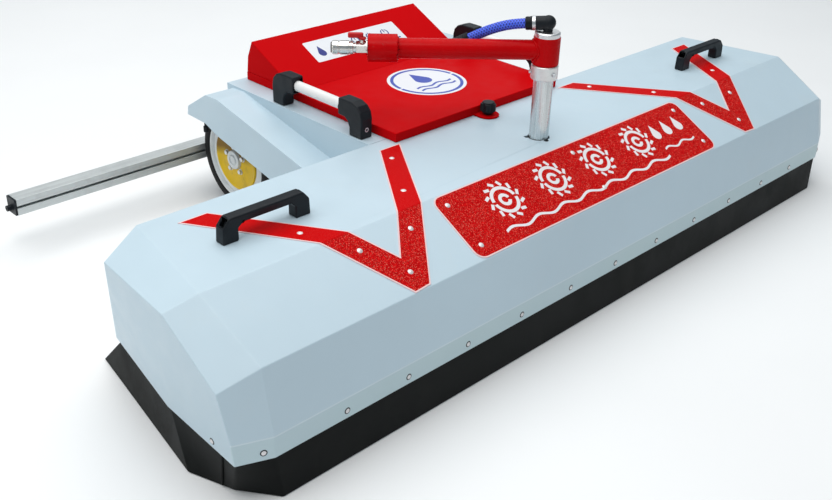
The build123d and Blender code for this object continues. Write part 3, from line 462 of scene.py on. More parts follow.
def join_rows(bm, rows, looped=False):
    """Faces between neighbouring rings of vertices; looped also joins the last ring to the first."""
    for here, after in zip(rows, rows[1:] + (rows[:1] if looped else [])):
        for j in range(len(here)):
            k = (j + 1) % len(here)
            bm.faces.new((here[j], here[k], after[k], after[j]))


def to_object(name, bm, smooth_angle=38):
    """An object from a bmesh, smooth except across edges sharper than the angle."""
    mesh = bpy.data.meshes.new(name)
    bmesh.ops.recalc_face_normals(bm, faces=bm.faces)
    bm.to_mesh(mesh)
    bm.free()
    piece = bpy.data.objects.new(name, mesh)
    mesh.shade_smooth()
    mesh.set_sharp_from_angle(angle=radians(smooth_angle))
    piece.modifiers.new("weights", "WEIGHTED_NORMAL").keep_sharp = True
    return piece


# Degrees between the faces at a sheet's folds and at its rims.
FOLD_ANGLES = (9, 75)
RIM_ANGLES = (28, 181)
FLAT_ANGLE = radians(0.4)
SEAM_WELD = 2e-6


def merged_mesh(node, weld=SEAM_WELD):
    """A bmesh of a CAD node with its seams closed and its flat faces in one piece."""
    bm = bmesh.new()
    bm.from_mesh(frame["nodes"][node].data)
    bmesh.ops.remove_doubles(bm, verts=bm.verts, dist=weld)
    bmesh.ops.dissolve_limit(bm, angle_limit=FLAT_ANGLE, verts=bm.verts, edges=bm.edges)
    return bm


def bevel_edges(bm, low, high, width, segments, outer_only=False):
    """Rounds the edges whose faces meet at an angle from low to high, in degrees."""
    edges = [e for e in bm.edges if len(e.link_faces) == 2
             and low <= degrees(e.calc_face_angle(0)) < high and (e.is_convex or not outer_only)]
    bmesh.ops.bevel(bm, geom=edges, offset=width, segments=segments, profile=0.5, affect="EDGES",
                    clamp_overlap=False)


def refined(node, name, rim, fold=None, segments=2, material=None, weld=SEAM_WELD):
    """A copy of a CAD node with rounded edges: fold on blunt ones, rim on sharp ones."""
    bm = merged_mesh(node, weld)
    if fold:
        bevel_edges(bm, *FOLD_ANGLES, fold, 3, outer_only=True)
        bevel_edges(bm, FOLD_ANGLES[1], RIM_ANGLES[1], rim, segments)
    else:
        bevel_edges(bm, *RIM_ANGLES, rim, segments)
    return place(to_object(name, bm), BODY_OF[node], SLOT_OF[node], material, node)


def lathe(name, profile, origin, axis, steps=64, wobble=None):
    """A solid of revolution from (radius, along) points; wobble(i, j) scales a point's radius."""
    axis = Vector(axis).normalized()
    side = axis.orthogonal().normalized()
    other = axis.cross(side)
    turns = [2 * pi * i / steps for i in range(steps)]
    outs = [side * cos(turn) + other * sin(turn) for turn in turns]
    bm = bmesh.new()
    rows = []
    for j, (radius, along) in enumerate(profile):
        centre = Vector(origin) + axis * along
        scales = [wobble(i, j) if wobble else 1.0 for i in range(steps)]
        rows.append([bm.verts.new(centre + out * radius * scale) for out, scale in zip(outs, scales)])
    join_rows(bm, rows)
    bmesh.ops.remove_doubles(bm, verts=bm.verts, dist=1e-7)
    return to_object(name, bm)


def closed(profile):
    return profile + [profile[0]]


def tube_mesh(name, points, radius, steps):
    """A closed-ended tube along points."""
    bm = bmesh.new()
    normal = (points[1] - points[0]).orthogonal().normalized()
    rows = [add_ring(bm, *frame_here, radius, steps) for frame_here in carried_frames(points, normal)]
    join_rows(bm, rows)
    bm.faces.new(rows[0])
    bm.faces.new(rows[-1])
    return to_object(name, bm, 60)


def weld_bead(name, points, radius, steps=10, swell=0.22):
    """A bead round a closed loop of points; every second one is fatter by the swell."""
    bm = bmesh.new()
    rows = []
    count = len(points)
    centre = sum(points, Vector()) / count
    for i, point in enumerate(points):
        tangent = (points[(i + 1) % count] - points[i - 1]).normalized()
        outward = point - centre
        outward = (outward - tangent * outward.dot(tangent)).normalized()
        across = tangent.cross(outward)
        rows.append(add_ring(bm, point, outward, across, radius * (1 + swell * (i % 2)), steps))
    join_rows(bm, rows, looped=True)
    return place(to_object(name, bm, 60), "boom", "red_paint")


def flat_shapes(name, outlines, to_space, thickness):
    """Thin raised shapes from outlines of (u, v) points; to_space(u, v, height) places a point."""
    bm = bmesh.new()
    for outline in outlines:
        top = [bm.verts.new(to_space(u, v, thickness)) for u, v in outline]
        low = [bm.verts.new(to_space(u, v, 0.0)) for u, v in outline]
        bm.faces.new(top)
        join_rows(bm, [low, top])
    return to_object(name, bm, 30)


def arc(cu, cv, radius, start, end, steps=24):
    """Points on a circle, from one angle to another, in degrees."""
    turns = [radians(start + (end - start) * i / steps) for i in range(steps + 1)]
    return [(cu + radius * cos(t), cv + radius * sin(t)) for t in turns]


def band_outline(cu, cv, inner, outer, start, end, steps=24):
    """A piece of a flat ring."""
    return arc(cu, cv, outer, start, end, steps) + arc(cu, cv, inner, end, start, steps)


# ---- boom frame and hose

POST = Vector((-0.009, -0.319, 0))
BOOM_TURN = radians(138.0)
HOSE_TURN = radians(126.0)
OUT = Vector((cos(BOOM_TURN), sin(BOOM_TURN), 0))
ACROSS = Vector((-sin(BOOM_TURN), cos(BOOM_TURN), 0))
UP = Vector((0, 0, 1))
ARM_Z = 0.5205
ARM_R = 0.021


def boom(radius, z, across=0.0):
    """A point on the boom: distance out from the post's axis, height, and offset across."""
    return POST + OUT * radius + ACROSS * across + UP * z


# The hose's route in the plane of its turn: (distance from the post's axis, height).
HOSE_ROUTE = [(0.172, 0.5275), (0.138, 0.547), (0.101, 0.563), (0.066, 0.572), (0.036, 0.575)]
HOSE_DIAMETER = 0.021
HOSE_SPACING = 0.0007
HOSE_STEPS = 72
BRAID_STRANDS, BRAID_PITCH, BRAID_DEPTH = 6, 0.036, 0.0009


def hose_spline():
    """The hose's centre line: one NURBS spline with the route as its control points."""
    data = bpy.data.curves.new("hose_line", "CURVE")
    data.dimensions = "3D"
    data.resolution_u = 48
    spline = data.splines.new("NURBS")
    spline.points.add(len(HOSE_ROUTE) - 1)
    for point, (radius, z) in zip(spline.points, HOSE_ROUTE):
        point.co = (POST.x + radius * cos(HOSE_TURN), POST.y + radius * sin(HOSE_TURN), z, 1)
    spline.order_u = 3
    spline.use_endpoint_u = True
    return data


def spline_points(data):
    holder = add_object("hose_holder", data)
    bpy.context.view_layer.update()
    mesh = bpy.data.meshes.new_from_object(holder)
    points = [vertex.co.copy() for vertex in mesh.vertices]
    bpy.data.objects.remove(holder)
    bpy.data.meshes.remove(mesh)
    return points


def even_points(points, step):
    """Points at equal spacing along a line of points."""
    total = sum((b - a).length for a, b in zip(points, points[1:]))
    count = max(2, round(total / step))
    spacing = total / count
    result, travelled, target = [points[0]], 0.0, spacing
    for a, b in zip(points, points[1:]):
        length = (b - a).length
        while travelled + length >= target - 1e-9 and len(result) < count:
            result.append(a.lerp(b, (target - travelled) / length))
            target += spacing
        travelled += length
    result.append(points[-1])
    return result


def make_hose():
    """A tube with a raised two-way braid, wound as two sets of helical strands."""
    line = even_points(spline_points(hose_spline()), HOSE_SPACING)
    bm = bmesh.new()
    layer = bm.verts.layers.float.new("braid")
    rows, travelled = [], 0.0
    for i, (point, normal, side) in enumerate(carried_frames(line, ACROSS)):
        wind = 2 * pi * travelled / BRAID_PITCH
        row = []
        for j in range(HOSE_STEPS):
            turn = 2 * pi * j / HOSE_STEPS
            one = cos(BRAID_STRANDS * (turn + wind))
            two = cos(BRAID_STRANDS * (turn - wind))
            height = max(one, two) * 0.5 + 0.5
            radius = HOSE_DIAMETER / 2 - BRAID_DEPTH * (1 - height)
            vertex = bm.verts.new(point + (normal * cos(turn) + side * sin(turn)) * radius)
            vertex[layer] = height
            row.append(vertex)
        rows.append(row)
        if i + 1 < len(line):
            travelled += (line[i + 1] - point).length
    join_rows(bm, rows)
    bm.faces.new(rows[0])
    bm.faces.new(rows[-1])
    hose = to_object("hose_braided", bm, 70)
    place(hose, "boom", "hose_blue", node="water_hose")
    return line


add_camera()
hose_line = make_hose()


# ---- hood, skirt and trim

def add_head():
    refined("head_hood", "hood_shell", 0.0006, 0.0018, weld=0.0012)
    add_skirt()
    for side in ("left", "right"):
        refined(f"lift_handle_{side}", f"lift_handle_{side}_moulding", 0.0028, segments=3)


# Right half of the skirt's outlines, (x, y), from front to rear: behind the hood's band and on the floor.
SKIRT_WAIST = [(0.917, -0.546), (0.9755, -0.5215), (0.9655, -0.318), (0.917, -0.081)]
SKIRT_HEM = [(0.908, -0.5525), (0.957, -0.485), (0.988, -0.395), (0.92, -0.002)]
SKIRT_SHEET = 0.004
SKIRT_BEND = 0.004
SKIRT_MIDDLE_Y = -0.3
WAIST_Z, HEM_Z, COLLAR_Z = 0.085, 0.002, 0.122
SKIRT_LEVELS = [0.0, 0.02, 0.25, 0.5, 0.75, 0.96, 1.0]


def rounded_outline(half, radius, height, bend_steps=6, side_steps=14):
    """A closed loop from its right half, (x, y): rounded corners, evenly divided straight sides."""
    corners = [Vector((x, y, height)) for x, y in half]
    corners += [Vector((-p.x, p.y, height)) for p in reversed(corners)]
    bends = []
    for before, here, after in zip(corners[-1:] + corners, corners, corners[1:] + corners[:1]):
        reach = min(radius, 0.3 * (here - before).length, 0.3 * (after - here).length)
        start = here + (before - here).normalized() * reach
        end = here + (after - here).normalized() * reach
        shares = [i / bend_steps for i in range(bend_steps + 1)]
        bends.append([start.lerp(here, t).lerp(here.lerp(end, t), t) for t in shares])
    loop = []
    for bend, following in zip(bends, bends[1:] + bends[:1]):
        loop += bend
        loop += [bend[-1].lerp(following[0], i / side_steps) for i in range(1, side_steps)]
    return loop


def moved_inwards(half, inset):
    """A right half moved towards the skirt's middle."""
    return [(x - inset, y + (inset if y < SKIRT_MIDDLE_Y else -inset)) for x, y in half]


def skirt_loops(inset):
    """The skirt's outlines from the hem up, all moved towards the middle by inset."""
    hem = rounded_outline(moved_inwards(SKIRT_HEM, inset), SKIRT_BEND, HEM_Z)
    waist = rounded_outline(moved_inwards(SKIRT_WAIST, inset), SKIRT_BEND, WAIST_Z)
    loops = [[low.lerp(high, level) for low, high in zip(hem, waist)] for level in SKIRT_LEVELS]
    return loops + [[Vector((p.x, p.y, COLLAR_Z)) for p in waist]]


def add_skirt():
    """The rubber skirt: an outer and an inner wall, joined along the hem and along the top."""
    bm = bmesh.new()
    walls = skirt_loops(0.0) + list(reversed(skirt_loops(SKIRT_SHEET)))
    join_rows(bm, [[bm.verts.new(p) for p in loop] for loop in walls], looped=True)
    return place(to_object("rubber_skirt", bm, 50), "base", "skirt_sheet", node="head_skirt")


SLOPE_TOP = Vector((0, -0.3825, 0.326))
SLOPE_UP = Vector((0, 0.142, 0.077)).normalized()
SLOPE_NORMAL = Vector((0, -0.077, 0.142)).normalized()
MITRE = (SLOPE_NORMAL + UP) / (1 + SLOPE_NORMAL.z)
# Heights above the hood: the bare sheet's top, the film's hidden foot and the film's face.
SHEET_TOP, FILM_FOOT, FILM_TOP = 0.0015, 0.0013, 0.0016
FILM_INSET = 0.0028
# The name plate: half its length, its lower and upper edges up from the crease, corners and middle.
PLATE_HALF, PLATE_LOW, PLATE_HIGH, PLATE_CORNER = 0.413, -0.15904, -0.0025, 0.022
PLATE_MIDDLE = -0.0808
# One chevron unfolded: x along the hood, s up from the crease (s < 0 lies on the front slope).
CHEVRON = [(-0.8217, 0.2266), (-0.7591, 0.2266), (-0.5595, -0.0845), (-0.3268, 0.231), (-0.2669, 0.231),
           (-0.5432, -0.1578), (-0.5826, -0.1605)]


def on_crease(x, s, height):
    """On the bent trim: s up from the crease; the two halves meet on the plane that halves the bend."""
    if abs(s) < 1e-6:
        return SLOPE_TOP + Vector((x, 0, 0)) + MITRE * height
    if s > 0:
        return SLOPE_TOP + Vector((x, s, height))
    return SLOPE_TOP + Vector((x, 0, 0)) + SLOPE_UP * s + SLOPE_NORMAL * height


def inset_outline(outline, inset):
    """The outline moved inwards by inset, with mitred corners."""
    points = [Vector(point) for point in outline]
    area = sum(a.x * b.y - b.x * a.y for a, b in zip(points, points[1:] + points[:1]))
    turn = 1 if area > 0 else -1
    moved = []
    for before, here, after in zip(points[-1:] + points, points, points[1:] + points[:1]):
        sides = [(here - before).normalized(), (after - here).normalized()]
        inward = [Vector((-side.y, side.x)) * turn for side in sides]
        middle = (inward[0] + inward[1]).normalized()
        moved.append(tuple(here + middle * (inset / middle.dot(inward[0]))))
    return moved


def bent_sheet(name, outline, low, high, material, node=None):
    """A flat outline between two heights above the hood, folded over the crease."""
    bm = bmesh.new()
    top = [bm.verts.new((x, s, high)) for x, s in outline]
    bottom = [bm.verts.new((x, s, low)) for x, s in outline]
    bm.faces.new(top)
    bm.faces.new(bottom[::-1])
    join_rows(bm, [bottom, top])
    bmesh.ops.connect_verts_concave(bm, faces=bm.faces[:])
    parts = bm.verts[:] + bm.edges[:] + bm.faces[:]
    bmesh.ops.bisect_plane(bm, geom=parts, plane_co=(0, 0, 0), plane_no=(0, 1, 0))
    for vertex in bm.verts:
        vertex.co = on_crease(*vertex.co)
    piece = to_object(name, bm, 12)
    return place(piece, "base", "trim_red", material, node)


def add_trim():
    """Name plate and chevrons: cut sheets with a red film set in from their bare edges."""
    plate = rounded_box(-PLATE_HALF, PLATE_HALF, PLATE_LOW, PLATE_HIGH, PLATE_CORNER)
    right = [(-x, s) for x, s in reversed(CHEVRON)]
    for node, outline in (("name_plate", plate), ("chevron_left", CHEVRON), ("chevron_right", right)):
        bent_sheet(f"{node}_sheet", outline, 0.0, SHEET_TOP, "trim_edge", node)
        bent_sheet(f"{node}_film", inset_outline(outline, FILM_INSET), FILM_FOOT, FILM_TOP, "trim_red")


def on_plate(u, v, height):
    """On the name plate's face: u along the hood, v up the slope from the plate's middle."""
    middle = SLOPE_TOP + SLOPE_UP * PLATE_MIDDLE + SLOPE_NORMAL * FILM_TOP
    return middle + Vector((u, 0, 0)) + SLOPE_UP * v + SLOPE_NORMAL * height


def brush_icon(cu, cv, size, strokes=12):
    """A rotary brush seen from above: a ring, a hub ring and short slanted bristle strokes."""
    shapes = [band_outline(cu, cv, size * 0.56, size * 0.73, start, start + 168) for start in (6, 186)]
    shapes.append(band_outline(cu, cv, size * 0.16, size * 0.33, 10, 340))
    for i in range(strokes):
        start = 360 / strokes * i
        inner, outer = radians(start), radians(start + 14)
        foot = Vector((cu + size * 0.8 * cos(inner), cv + size * 0.8 * sin(inner)))
        tip = Vector((cu + size * cos(outer), cv + size * sin(outer)))
        across = Vector((tip.y - foot.y, foot.x - tip.x)).normalized() * size * 0.075
        corners = (foot - across, tip - across, tip + across, foot + across)
        shapes.append([tuple(corner) for corner in corners])
    return shapes


def drop_icon(cu, cv, size):
    """A water drop with its point up."""
    points = arc(cu, cv, size, 150, 390, 20)
    return points + [(cu, cv + size * 2.3)]


def ripple(start, end, base, height, waves, width, steps=72):
    """A wavy line, drawn as one outline of even width."""
    upper, lower = [], []
    for i in range(steps + 1):
        u = start + (end - start) * i / steps
        v = base + height * sin(2 * pi * waves * i / steps)
        upper.append((u, v + width / 2))
        lower.append((u, v - width / 2))
    return upper + lower[::-1]


# Middles and sizes of the plate's cut-outs, from the plate's middle.
BRUSH_ICONS = [(-0.255 + 0.15 * i, 0.016, 0.046) for i in range(4)]
DROP_ICONS = [(0.268 + 0.044 * i, 0.012, 0.013) for i in range(3)]


def add_plate_motif():
    """The plate's pale cut-outs: four brush wheels over a ripple of water, and drops."""
    shapes = []
    for icon in BRUSH_ICONS:
        shapes += brush_icon(*icon)
    shapes += [drop_icon(*icon) for icon in DROP_ICONS]
    shapes.append(ripple(-0.31, 0.25, base=-0.048, height=0.005, waves=7, width=0.006))
    shapes.append(ripple(0.255, 0.37, base=-0.03, height=0.004, waves=2, width=0.005, steps=30))
    piece = flat_shapes("plate_motif", shapes, on_plate, 0.0002)
    piece.data.materials.append(powder_coat("motif_silver", (0.85, 0.82, 0.84), gloss=0.35))
    place(piece, "base", "zinc")


# ---- lid, console and rear body

LID_TOP = 0.347
LID_ROUND = 0.0018


def add_lid():
    """The lid's pan, with rounds on the edges of its top."""
    bm = merged_mesh("lid")
    top = [e for e in bm.edges if len(e.link_faces) == 2 and e.is_convex and e.calc_face_angle(0) > 0.5
           and min(v.co.z for v in e.verts) > LID_TOP - 0.0005]
    bmesh.ops.bevel(bm, geom=top, offset=LID_ROUND, segments=4, profile=0.5, affect="EDGES",
                    clamp_overlap=True)
    return place(to_object("lid_pressing", bm), "lid", "lid_paint", node="lid")


def add_lid_and_body():
    add_lid()
    refined("console", "console_wedge", 0.002, segments=3)
    refined("body_cover", "body_cover_sheet", 0.0007)
    for side in ("left", "right"):
        refined(f"fender_{side}", f"fender_{side}_sheet", 0.0008, 0.0035)
        refined(f"side_handle_brackets_{side}", f"side_bracket_mouldings_{side}", 0.0035, segments=3)
        refined(f"side_handle_tube_{side}", f"side_tube_{side}", 0.0005)
    refined("latch_knob", "latch_thumb_knob", 0.0012)


def on_lid(u, v, height):
    return Vector((u, v, LID_TOP + height))


CONSOLE_FOOT = Vector((0, 0.194, LID_TOP))
CONSOLE_TOP = Vector((0, 0.36, 0.427))
CONSOLE_UP = (CONSOLE_TOP - CONSOLE_FOOT).normalized()
CONSOLE_NORMAL = Vector((0, -CONSOLE_UP.z, CONSOLE_UP.y))


def on_console(u, v, height):
    """On the console's sloping face: v up the slope from the lid."""
    return CONSOLE_FOOT + Vector((u, 0, 0)) + CONSOLE_UP * v + CONSOLE_NORMAL * height


def rounded_box(u0, u1, v0, v1, radius, steps=6):
    points = []
    for cu, cv, start in ((u1 - radius, v1 - radius, 0), (u0 + radius, v1 - radius, 90),
                          (u0 + radius, v0 + radius, 180), (u1 - radius, v0 + radius, 270)):
        points += arc(cu, cv, radius, start, start + 90, steps)
    return points


WHITE_INK = plain_label("white_print", (0.78, 0.8, 0.84))
BLUE_INK = plain_label("blue_print", (0.02, 0.06, 0.42))
DEEP_BLUE_INK = plain_label("deep_blue_print", (0.02, 0.03, 0.22))


def printed(name, outlines, to_space, thickness, ink):
    piece = flat_shapes(name, outlines, to_space, thickness)
    piece.data.materials.append(ink)
    return place(piece, "lid", "lid_paint")


def add_lid_graphics():
    """A plain drop-and-ripples sticker on the lid, and a plain label on the console."""
    cu, cv, size = 0.015, 0.05, 1.55
    backing = [arc(cu, cv, 0.062 * size, 0, 357, 72)]
    printed("lid_sticker", backing, on_lid, 0.0002, WHITE_INK)
    motif = [band_outline(cu, cv, 0.052 * size, 0.057 * size, start, start + 176, 48) for start in (2, 182)]
    for i in range(2):
        motif.append(ripple(cu - 0.036 * size, cu + 0.036 * size, cv - (0.016 + 0.011 * i) * size,
                            height=0.0025 * size, waves=2, width=0.004 * size, steps=36))
    motif.append(drop_icon(cu, cv + 0.008 * size, 0.014 * size))
    printed("lid_sticker_print", motif, on_lid, 0.0004, BLUE_INK)
    label = [rounded_box(-0.15, 0.15, 0.067, 0.139, 0.004)]
    printed("console_label", label, on_console, 0.0003, WHITE_INK)
    marks = [drop_icon(-0.118, 0.094, 0.011), rounded_box(-0.085, 0.135, 0.079, 0.083, 0.0015)]
    for dial in (-0.05, 0.0, 0.05, 0.1):
        marks.append(band_outline(dial, 0.108, 0.009, 0.012, 115, 425, 28))
        marks.append(rounded_box(dial - 0.0013, dial + 0.0013, 0.108, 0.121, 0.001))
    printed("console_label_print", marks, on_console, 0.0005, DEEP_BLUE_INK)


# ---- wheels

WHEEL_R = 0.135
WHEEL_Y = 0.37
GROOVE_R = 0.1312
GROOVES = (0.2815, 0.2965, 0.3115)
TREAD_EDGES = (0.28, 0.316)
SHOULDER_R = 0.1315
SIPE_SCALE = 0.974
# Profiles of the wheel's pieces: (radius, distance from the machine's middle).
INNER_WALL = [(0.108, 0.264), (0.112, 0.2632), (0.119, 0.2622), (0.127, 0.264), (0.1318, 0.268),
                   (0.134, 0.274), (0.1345, 0.28)]
OUTER_WALL = [(0.1345, 0.316), (0.134, 0.3225), (0.1318, 0.328), (0.127, 0.3312), (0.119, 0.3318),
                   (0.1172, 0.3312), (0.115, 0.3318), (0.112, 0.331), (0.108, 0.33)]
RIM = [(0.108, 0.266), (0.108, 0.329), (0.1066, 0.3302), (0.104, 0.33), (0.102, 0.3275),
       (0.1002, 0.3205), (0.0975, 0.3225), (0.092, 0.3262), (0.086, 0.3268), (0.08, 0.324),
       (0.08, 0.3175), (0.086, 0.319), (0.097, 0.3165), (0.1, 0.31), (0.1, 0.272),
       (0.103, 0.266)]
DISC = [(0.0798, 0.322), (0.0798, 0.3288), (0.0775, 0.3296), (0.074, 0.329), (0.069, 0.3262),
        (0.056, 0.325), (0.043, 0.3262), (0.036, 0.3288), (0.0245, 0.329), (0.0245, 0.323),
        (0.043, 0.321)]
HUB = [(0.0, 0.292), (0.024, 0.292), (0.024, 0.3345), (0.0225, 0.3368), (0.014, 0.337),
       (0.0128, 0.3398), (0.0105, 0.34), (0.0095, 0.3372), (0.0, 0.3372)]
AXLE = [(0.0, 0.125), (0.0115, 0.125), (0.0125, 0.126), (0.0125, 0.2925), (0.0, 0.2925)]
WHEEL_BOLTS, BOLT_CIRCLE_R, BOLT_FACE_X, BOLT_SIZE = 5, 0.0335, 0.3286, 0.0062


def mirrored(side):
    return -1 if side == "left" else 1


def add_wheel(side):
    """Grooved tyre with cuts in its shoulders, rim, dished disc, hub, axle and bolts."""
    sign = mirrored(side)
    origin = (0, WHEEL_Y, WHEEL_R)
    axis = (sign, 0, 0)
    body = f"wheel_{side}"
    tread = list(INNER_WALL)
    for start in GROOVES:
        tread += [(WHEEL_R, start - 0.001), (WHEEL_R, start), (GROOVE_R, start + 0.0008),
                  (GROOVE_R, start + 0.0026), (WHEEL_R, start + 0.0034)]
    tread += OUTER_WALL
    shoulder = {j for j, (radius, along) in enumerate(tread)
                if radius > SHOULDER_R and not TREAD_EDGES[0] < along < TREAD_EDGES[1]}

    def sipes(i, j):
        return SIPE_SCALE if j in shoulder and i % 4 == 0 else 1.0

    tyre = lathe(f"tyre_{side}_tread", closed(tread), origin, axis, 192, sipes)
    place(tyre, body, "tyre_rubber", node=f"tyre_{side}")
    rim = lathe(f"rim_{side}_pressing", closed(RIM), origin, axis, 96)
    place(rim, body, "rim_white", node=f"rim_{side}")
    disc = lathe(f"disc_{side}_dish", closed(DISC), origin, axis, 96)
    place(disc, body, "disc_yellow", node=f"wheel_disc_{side}")
    place(lathe(f"hub_{side}", HUB, origin, axis, 64), body, "rim_white")
    place(lathe(f"axle_{side}", AXLE, origin, axis, 48), body, "steel")
    for i in range(WHEEL_BOLTS):
        turn = 2 * pi * i / WHEEL_BOLTS + 0.3
        across, up = BOLT_CIRCLE_R * cos(turn), BOLT_CIRCLE_R * sin(turn)
        foot = Vector((sign * BOLT_FACE_X, WHEEL_Y + across, WHEEL_R + up))
        add_bolt(f"wheel_bolt_{side}_{i + 1}", foot, axis, BOLT_SIZE, body)


def add_bolt(name, foot, axis, size, body, slot="zinc"):
    """A hexagon head with a chamfered top on a washer, standing on foot."""
    washer = [(0.0, 0.0), (size * 1.25, 0.0), (size * 1.25, size * 0.18), (size, size * 0.22)]
    head = [(size, size * 0.9), (size * 0.86, size * 1.02), (0.0, size * 1.02)]
    wall = (len(washer) - 1, len(washer))

    def six_sided(i, j):
        return 1.0 - 0.11 * sin(pi * (i % 4) / 4) if j in wall else 1.0

    piece = lathe(name, washer + head, foot, axis, 24, six_sided)
    return place(piece, body, slot)


# ---- post, boom and valve

# The weld beads: round the arm, where it meets the knuckle and where its sleeve starts.
WELD_POINTS = 64
WELD_ROUND_ARM = ARM_R + 0.0006
KNUCKLE_WELD_R = 0.0287
SLEEVE_START = 0.3105


def round_arm():
    """Offsets across and up of points round the arm."""
    turns = [2 * pi * i / WELD_POINTS for i in range(WELD_POINTS)]
    return [(WELD_ROUND_ARM * sin(turn), WELD_ROUND_ARM * cos(turn)) for turn in turns]


def add_post_and_boom():
    """The post, the swivel and the boom, with the valve, the guide bar and two weld beads."""
    refined("post", "post_tube", 0.0006, material="post")
    refined("swivel_core", "swivel_collar", 0.0007, material="collar")
    refined("swivel_knuckle", "swivel_head", 0.0012, material="red_paint")
    refined("knuckle_cap", "swivel_cap", 0.0006)
    refined("boom_arm", "boom_tube", 0.001, material="red_paint")
    refined("valve_body", "inlet_valve_body", 0.0005)
    refined("valve_lever", "inlet_valve_lever", 0.0022, segments=3)
    refined("guide_bar", "guide_profile", 0.0006)
    refined("bar_end_cap", "guide_profile_cap", 0.0008)
    on_knuckle = [boom(sqrt(KNUCKLE_WELD_R ** 2 - across ** 2), ARM_Z + up, across)
                  for across, up in round_arm()]
    weld_bead("weld_at_swivel", on_knuckle, 0.0021)
    on_sleeve = [boom(SLEEVE_START, ARM_Z + up, across) for across, up in round_arm()]
    weld_bead("weld_at_sleeve", on_sleeve, 0.0019)


def add_coupling():
    """The quick coupling's knurled sleeve, and the dark seal at the inlet's mouth."""
    origin, axis = boom(0, ARM_Z), OUT
    inner, outer, groove = 0.0113, 0.0145, 0.0133
    profile = [(inner, 0.403), (outer - 0.001, 0.403), (outer, 0.404), (outer, 0.4085), (groove, 0.4095),
               (groove, 0.411), (outer, 0.412), (outer, 0.415), (outer, 0.42), (outer, 0.425),
               (outer, 0.43), (outer - 0.0014, 0.4312), (outer - 0.0014, 0.433), (outer, 0.4345),
               (outer, 0.444), (outer - 0.0018, 0.447), (inner, 0.447)]
    knurled = {j for j, (radius, along) in enumerate(profile) if 0.4125 < along < 0.4295}

    def knurl(i, j):
        return 1.0 - 0.045 * ((i + j) % 2) if j in knurled else 1.0

    piece = lathe("coupling_knurled", closed(profile), origin, axis, 72, knurl)
    place(piece, "inlet_coupling", "brass_plated", node="coupling_sleeve")
    seal = [(0.0078, 0.4465), (0.0078, 0.4488), (0.0086, 0.4496), (0.01, 0.4496), (0.0108, 0.4488),
            (0.0108, 0.4465)]
    place(lathe("inlet_seal", closed(seal), origin, axis, 48), "boom", "black_plastic")


def add_hose_fittings():
    """Two moulded elbows, each with a ribbed ferrule, and a clamp band round the upper one."""
    refined("arm_elbow", "arm_elbow_moulding", 0.0008)
    refined("top_elbow", "top_elbow_moulding", 0.0008)
    start, end = hose_line[0], hose_line[-1]
    first = (hose_line[6] - start).normalized()
    last = (end - hose_line[-7]).normalized()
    bore, rib, neck = 0.0106, 0.0142, 0.0134
    ferrule = [(bore, 0.0), (0.0138, 0.0), (rib, -0.0008)]
    for i in range(3):
        back = -0.003 * i
        ferrule += [(rib, back - 0.002), (neck, back - 0.0026), (neck, back - 0.0034), (rib, back - 0.004)]
    ferrule += [(0.0122, -0.0115), (bore, -0.0115)]
    place(lathe("hose_ferrule_top", closed(ferrule), end, last, 48), "boom", "black_plastic")
    place(lathe("hose_ferrule_arm", closed(ferrule), start, -first, 48), "boom", "black_plastic")
    band = [(0.0143, 0.0), (0.0151, 0.0004), (0.0151, 0.007), (0.0143, 0.0074)]
    place(lathe("hose_band_top", closed(band), end + last * 0.003, last, 64), "boom", "zinc")


STOP_SCREW_R, STOP_SCREW_Z = 0.0283, 0.503
COLLAR_SCREWS, COLLAR_SCREW_R, COLLAR_SCREW_Z = 3, 0.0288, 0.474
SIDE_HANDLE_X, SIDE_HANDLE_Y, SIDE_HANDLE_REACH, SIDE_SCREW_Z = 0.301, 0.069, 0.1532, 0.346
BUFFER_X, BUFFER_Y, BUFFER_FOOT_Z = 0.384, 0.405, 0.212


def add_small_hardware():
    """Screws on the swivel, cap screws in the side handles' feet and a buffer under each fender."""
    foot = POST + ACROSS * -STOP_SCREW_R + UP * STOP_SCREW_Z
    add_bolt("swivel_stop_screw", foot, ACROSS * -1, 0.0062, "boom", "black_plastic")
    for i in range(COLLAR_SCREWS):
        turn = radians(20 + 360 / COLLAR_SCREWS * i)
        spot = POST + Vector((COLLAR_SCREW_R * cos(turn), COLLAR_SCREW_R * sin(turn), COLLAR_SCREW_Z))
        add_bolt(f"collar_screw_{i + 1}", spot, (cos(turn), sin(turn), 0), 0.0042, "base")
    recess = [(0.0, 0.0002), (0.003, 0.0002), (0.0036, 0.0006), (0.005, 0.0006), (0.0054, 0.0)]
    buffer = [(0.0, 0.0), (0.005, 0.0), (0.0066, 0.0016), (0.0066, 0.015), (0.004, 0.0165),
              (0.004, 0.085), (0.0, 0.085)]
    for side in ("left", "right"):
        sign = mirrored(side)
        for i, end in enumerate((-1, 1)):
            foot = (sign * SIDE_HANDLE_X, SIDE_HANDLE_Y + end * SIDE_HANDLE_REACH, SIDE_SCREW_Z)
            place(lathe(f"bracket_screw_{side}_{i + 1}", recess, foot, (0, end, 0), 32), "base", "zinc")
        foot = (sign * BUFFER_X, BUFFER_Y, BUFFER_FOOT_Z)
        place(lathe(f"fender_buffer_{side}", buffer, foot, UP, 32), "base", "black_plastic")


SEAM_R = 0.0013
SEAM_SHIFT = 0.0022


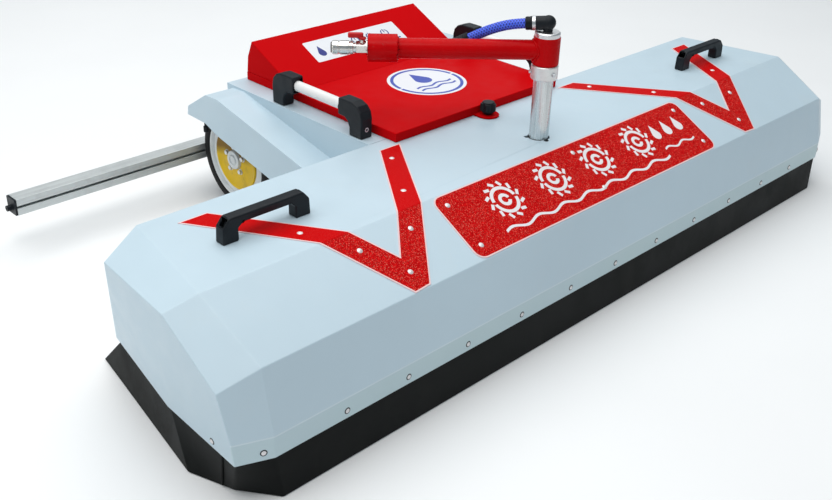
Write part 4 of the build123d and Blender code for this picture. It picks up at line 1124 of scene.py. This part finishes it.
def add_seams():
    """Overlapped ends of the rubber skirt: two ribs down each front corner's short side."""
    hem = Vector(SKIRT_HEM[2]).to_3d().lerp(Vector(SKIRT_HEM[1]).to_3d(), 0.73) + UP * (HEM_Z + 0.002)
    waist = Vector(SKIRT_WAIST[2]).to_3d().lerp(Vector(SKIRT_WAIST[1]).to_3d(), 0.8) + UP * WAIST_Z
    for side in ("left", "right"):
        turn = Vector((mirrored(side), 1, 1))
        for i, shift in enumerate((-SEAM_SHIFT, SEAM_SHIFT)):
            points = [(end + Vector((-shift * 0.35, shift, 0))) * turn for end in (hem, waist)]
            piece = tube_mesh(f"skirt_seam_{side}_{i + 1}", points, SEAM_R, 10)
            place(piece, "base", "skirt_sheet")


def rivet_spots(node):
    """The foot and the outward direction of each rivet in a node of rivets."""
    bm = merged_mesh(node)
    dome_face_sides = 4
    feet = [face for face in bm.faces if len(face.verts) > 3 * dome_face_sides]
    spots = [(face.calc_center_median().copy(), -face.normal.copy()) for face in feet]
    bm.free()
    return spots


def add_rivet_shadow_rings():
    """Dark rings round each rivet of the band: painted contact shadow."""
    profile = [(0.0044, 0.0), (0.0063, 0.0), (0.0061, 0.0003), (0.0054, 0.0006), (0.0044, 0.0006)]
    for i, (foot, out) in enumerate(rivet_spots("band_rivets")):
        # Painted contact shadow: a thin dark ring at the rivet's foot.
        ring = lathe(f"rivet_shadow_ring_{i + 1}", closed(profile), foot, out, 32)
        place(ring, "base", "black_plastic")


# ---- the rest of the CAD nodes

def finish_cad_nodes():
    """Every CAD node that shows as it is gets the material of its slot; rivets are paler."""
    for node, piece in frame["nodes"].items():
        piece.data.materials.clear()
        piece.data.materials.append(MATERIALS["rivet" if "rivets" in node else SLOT_OF[node]])


def add_floor():
    bm = bmesh.new()
    bmesh.ops.create_grid(bm, x_segments=1, y_segments=1, size=30)
    mesh = bpy.data.meshes.new("floor")
    bm.to_mesh(mesh)
    bm.free()
    floor = add_object("floor", mesh)
    mesh.materials.append(studio_floor("studio_floor"))


finish_cad_nodes()
add_head()
add_trim()
add_plate_motif()
add_lid_and_body()
add_lid_graphics()
for wheel_side in ("left", "right"):
    add_wheel(wheel_side)
add_post_and_boom()
add_coupling()
add_hose_fittings()
add_small_hardware()
add_seams()
add_rivet_shadow_rings()
add_studio()
add_floor()

bpy.context.view_layer.update()
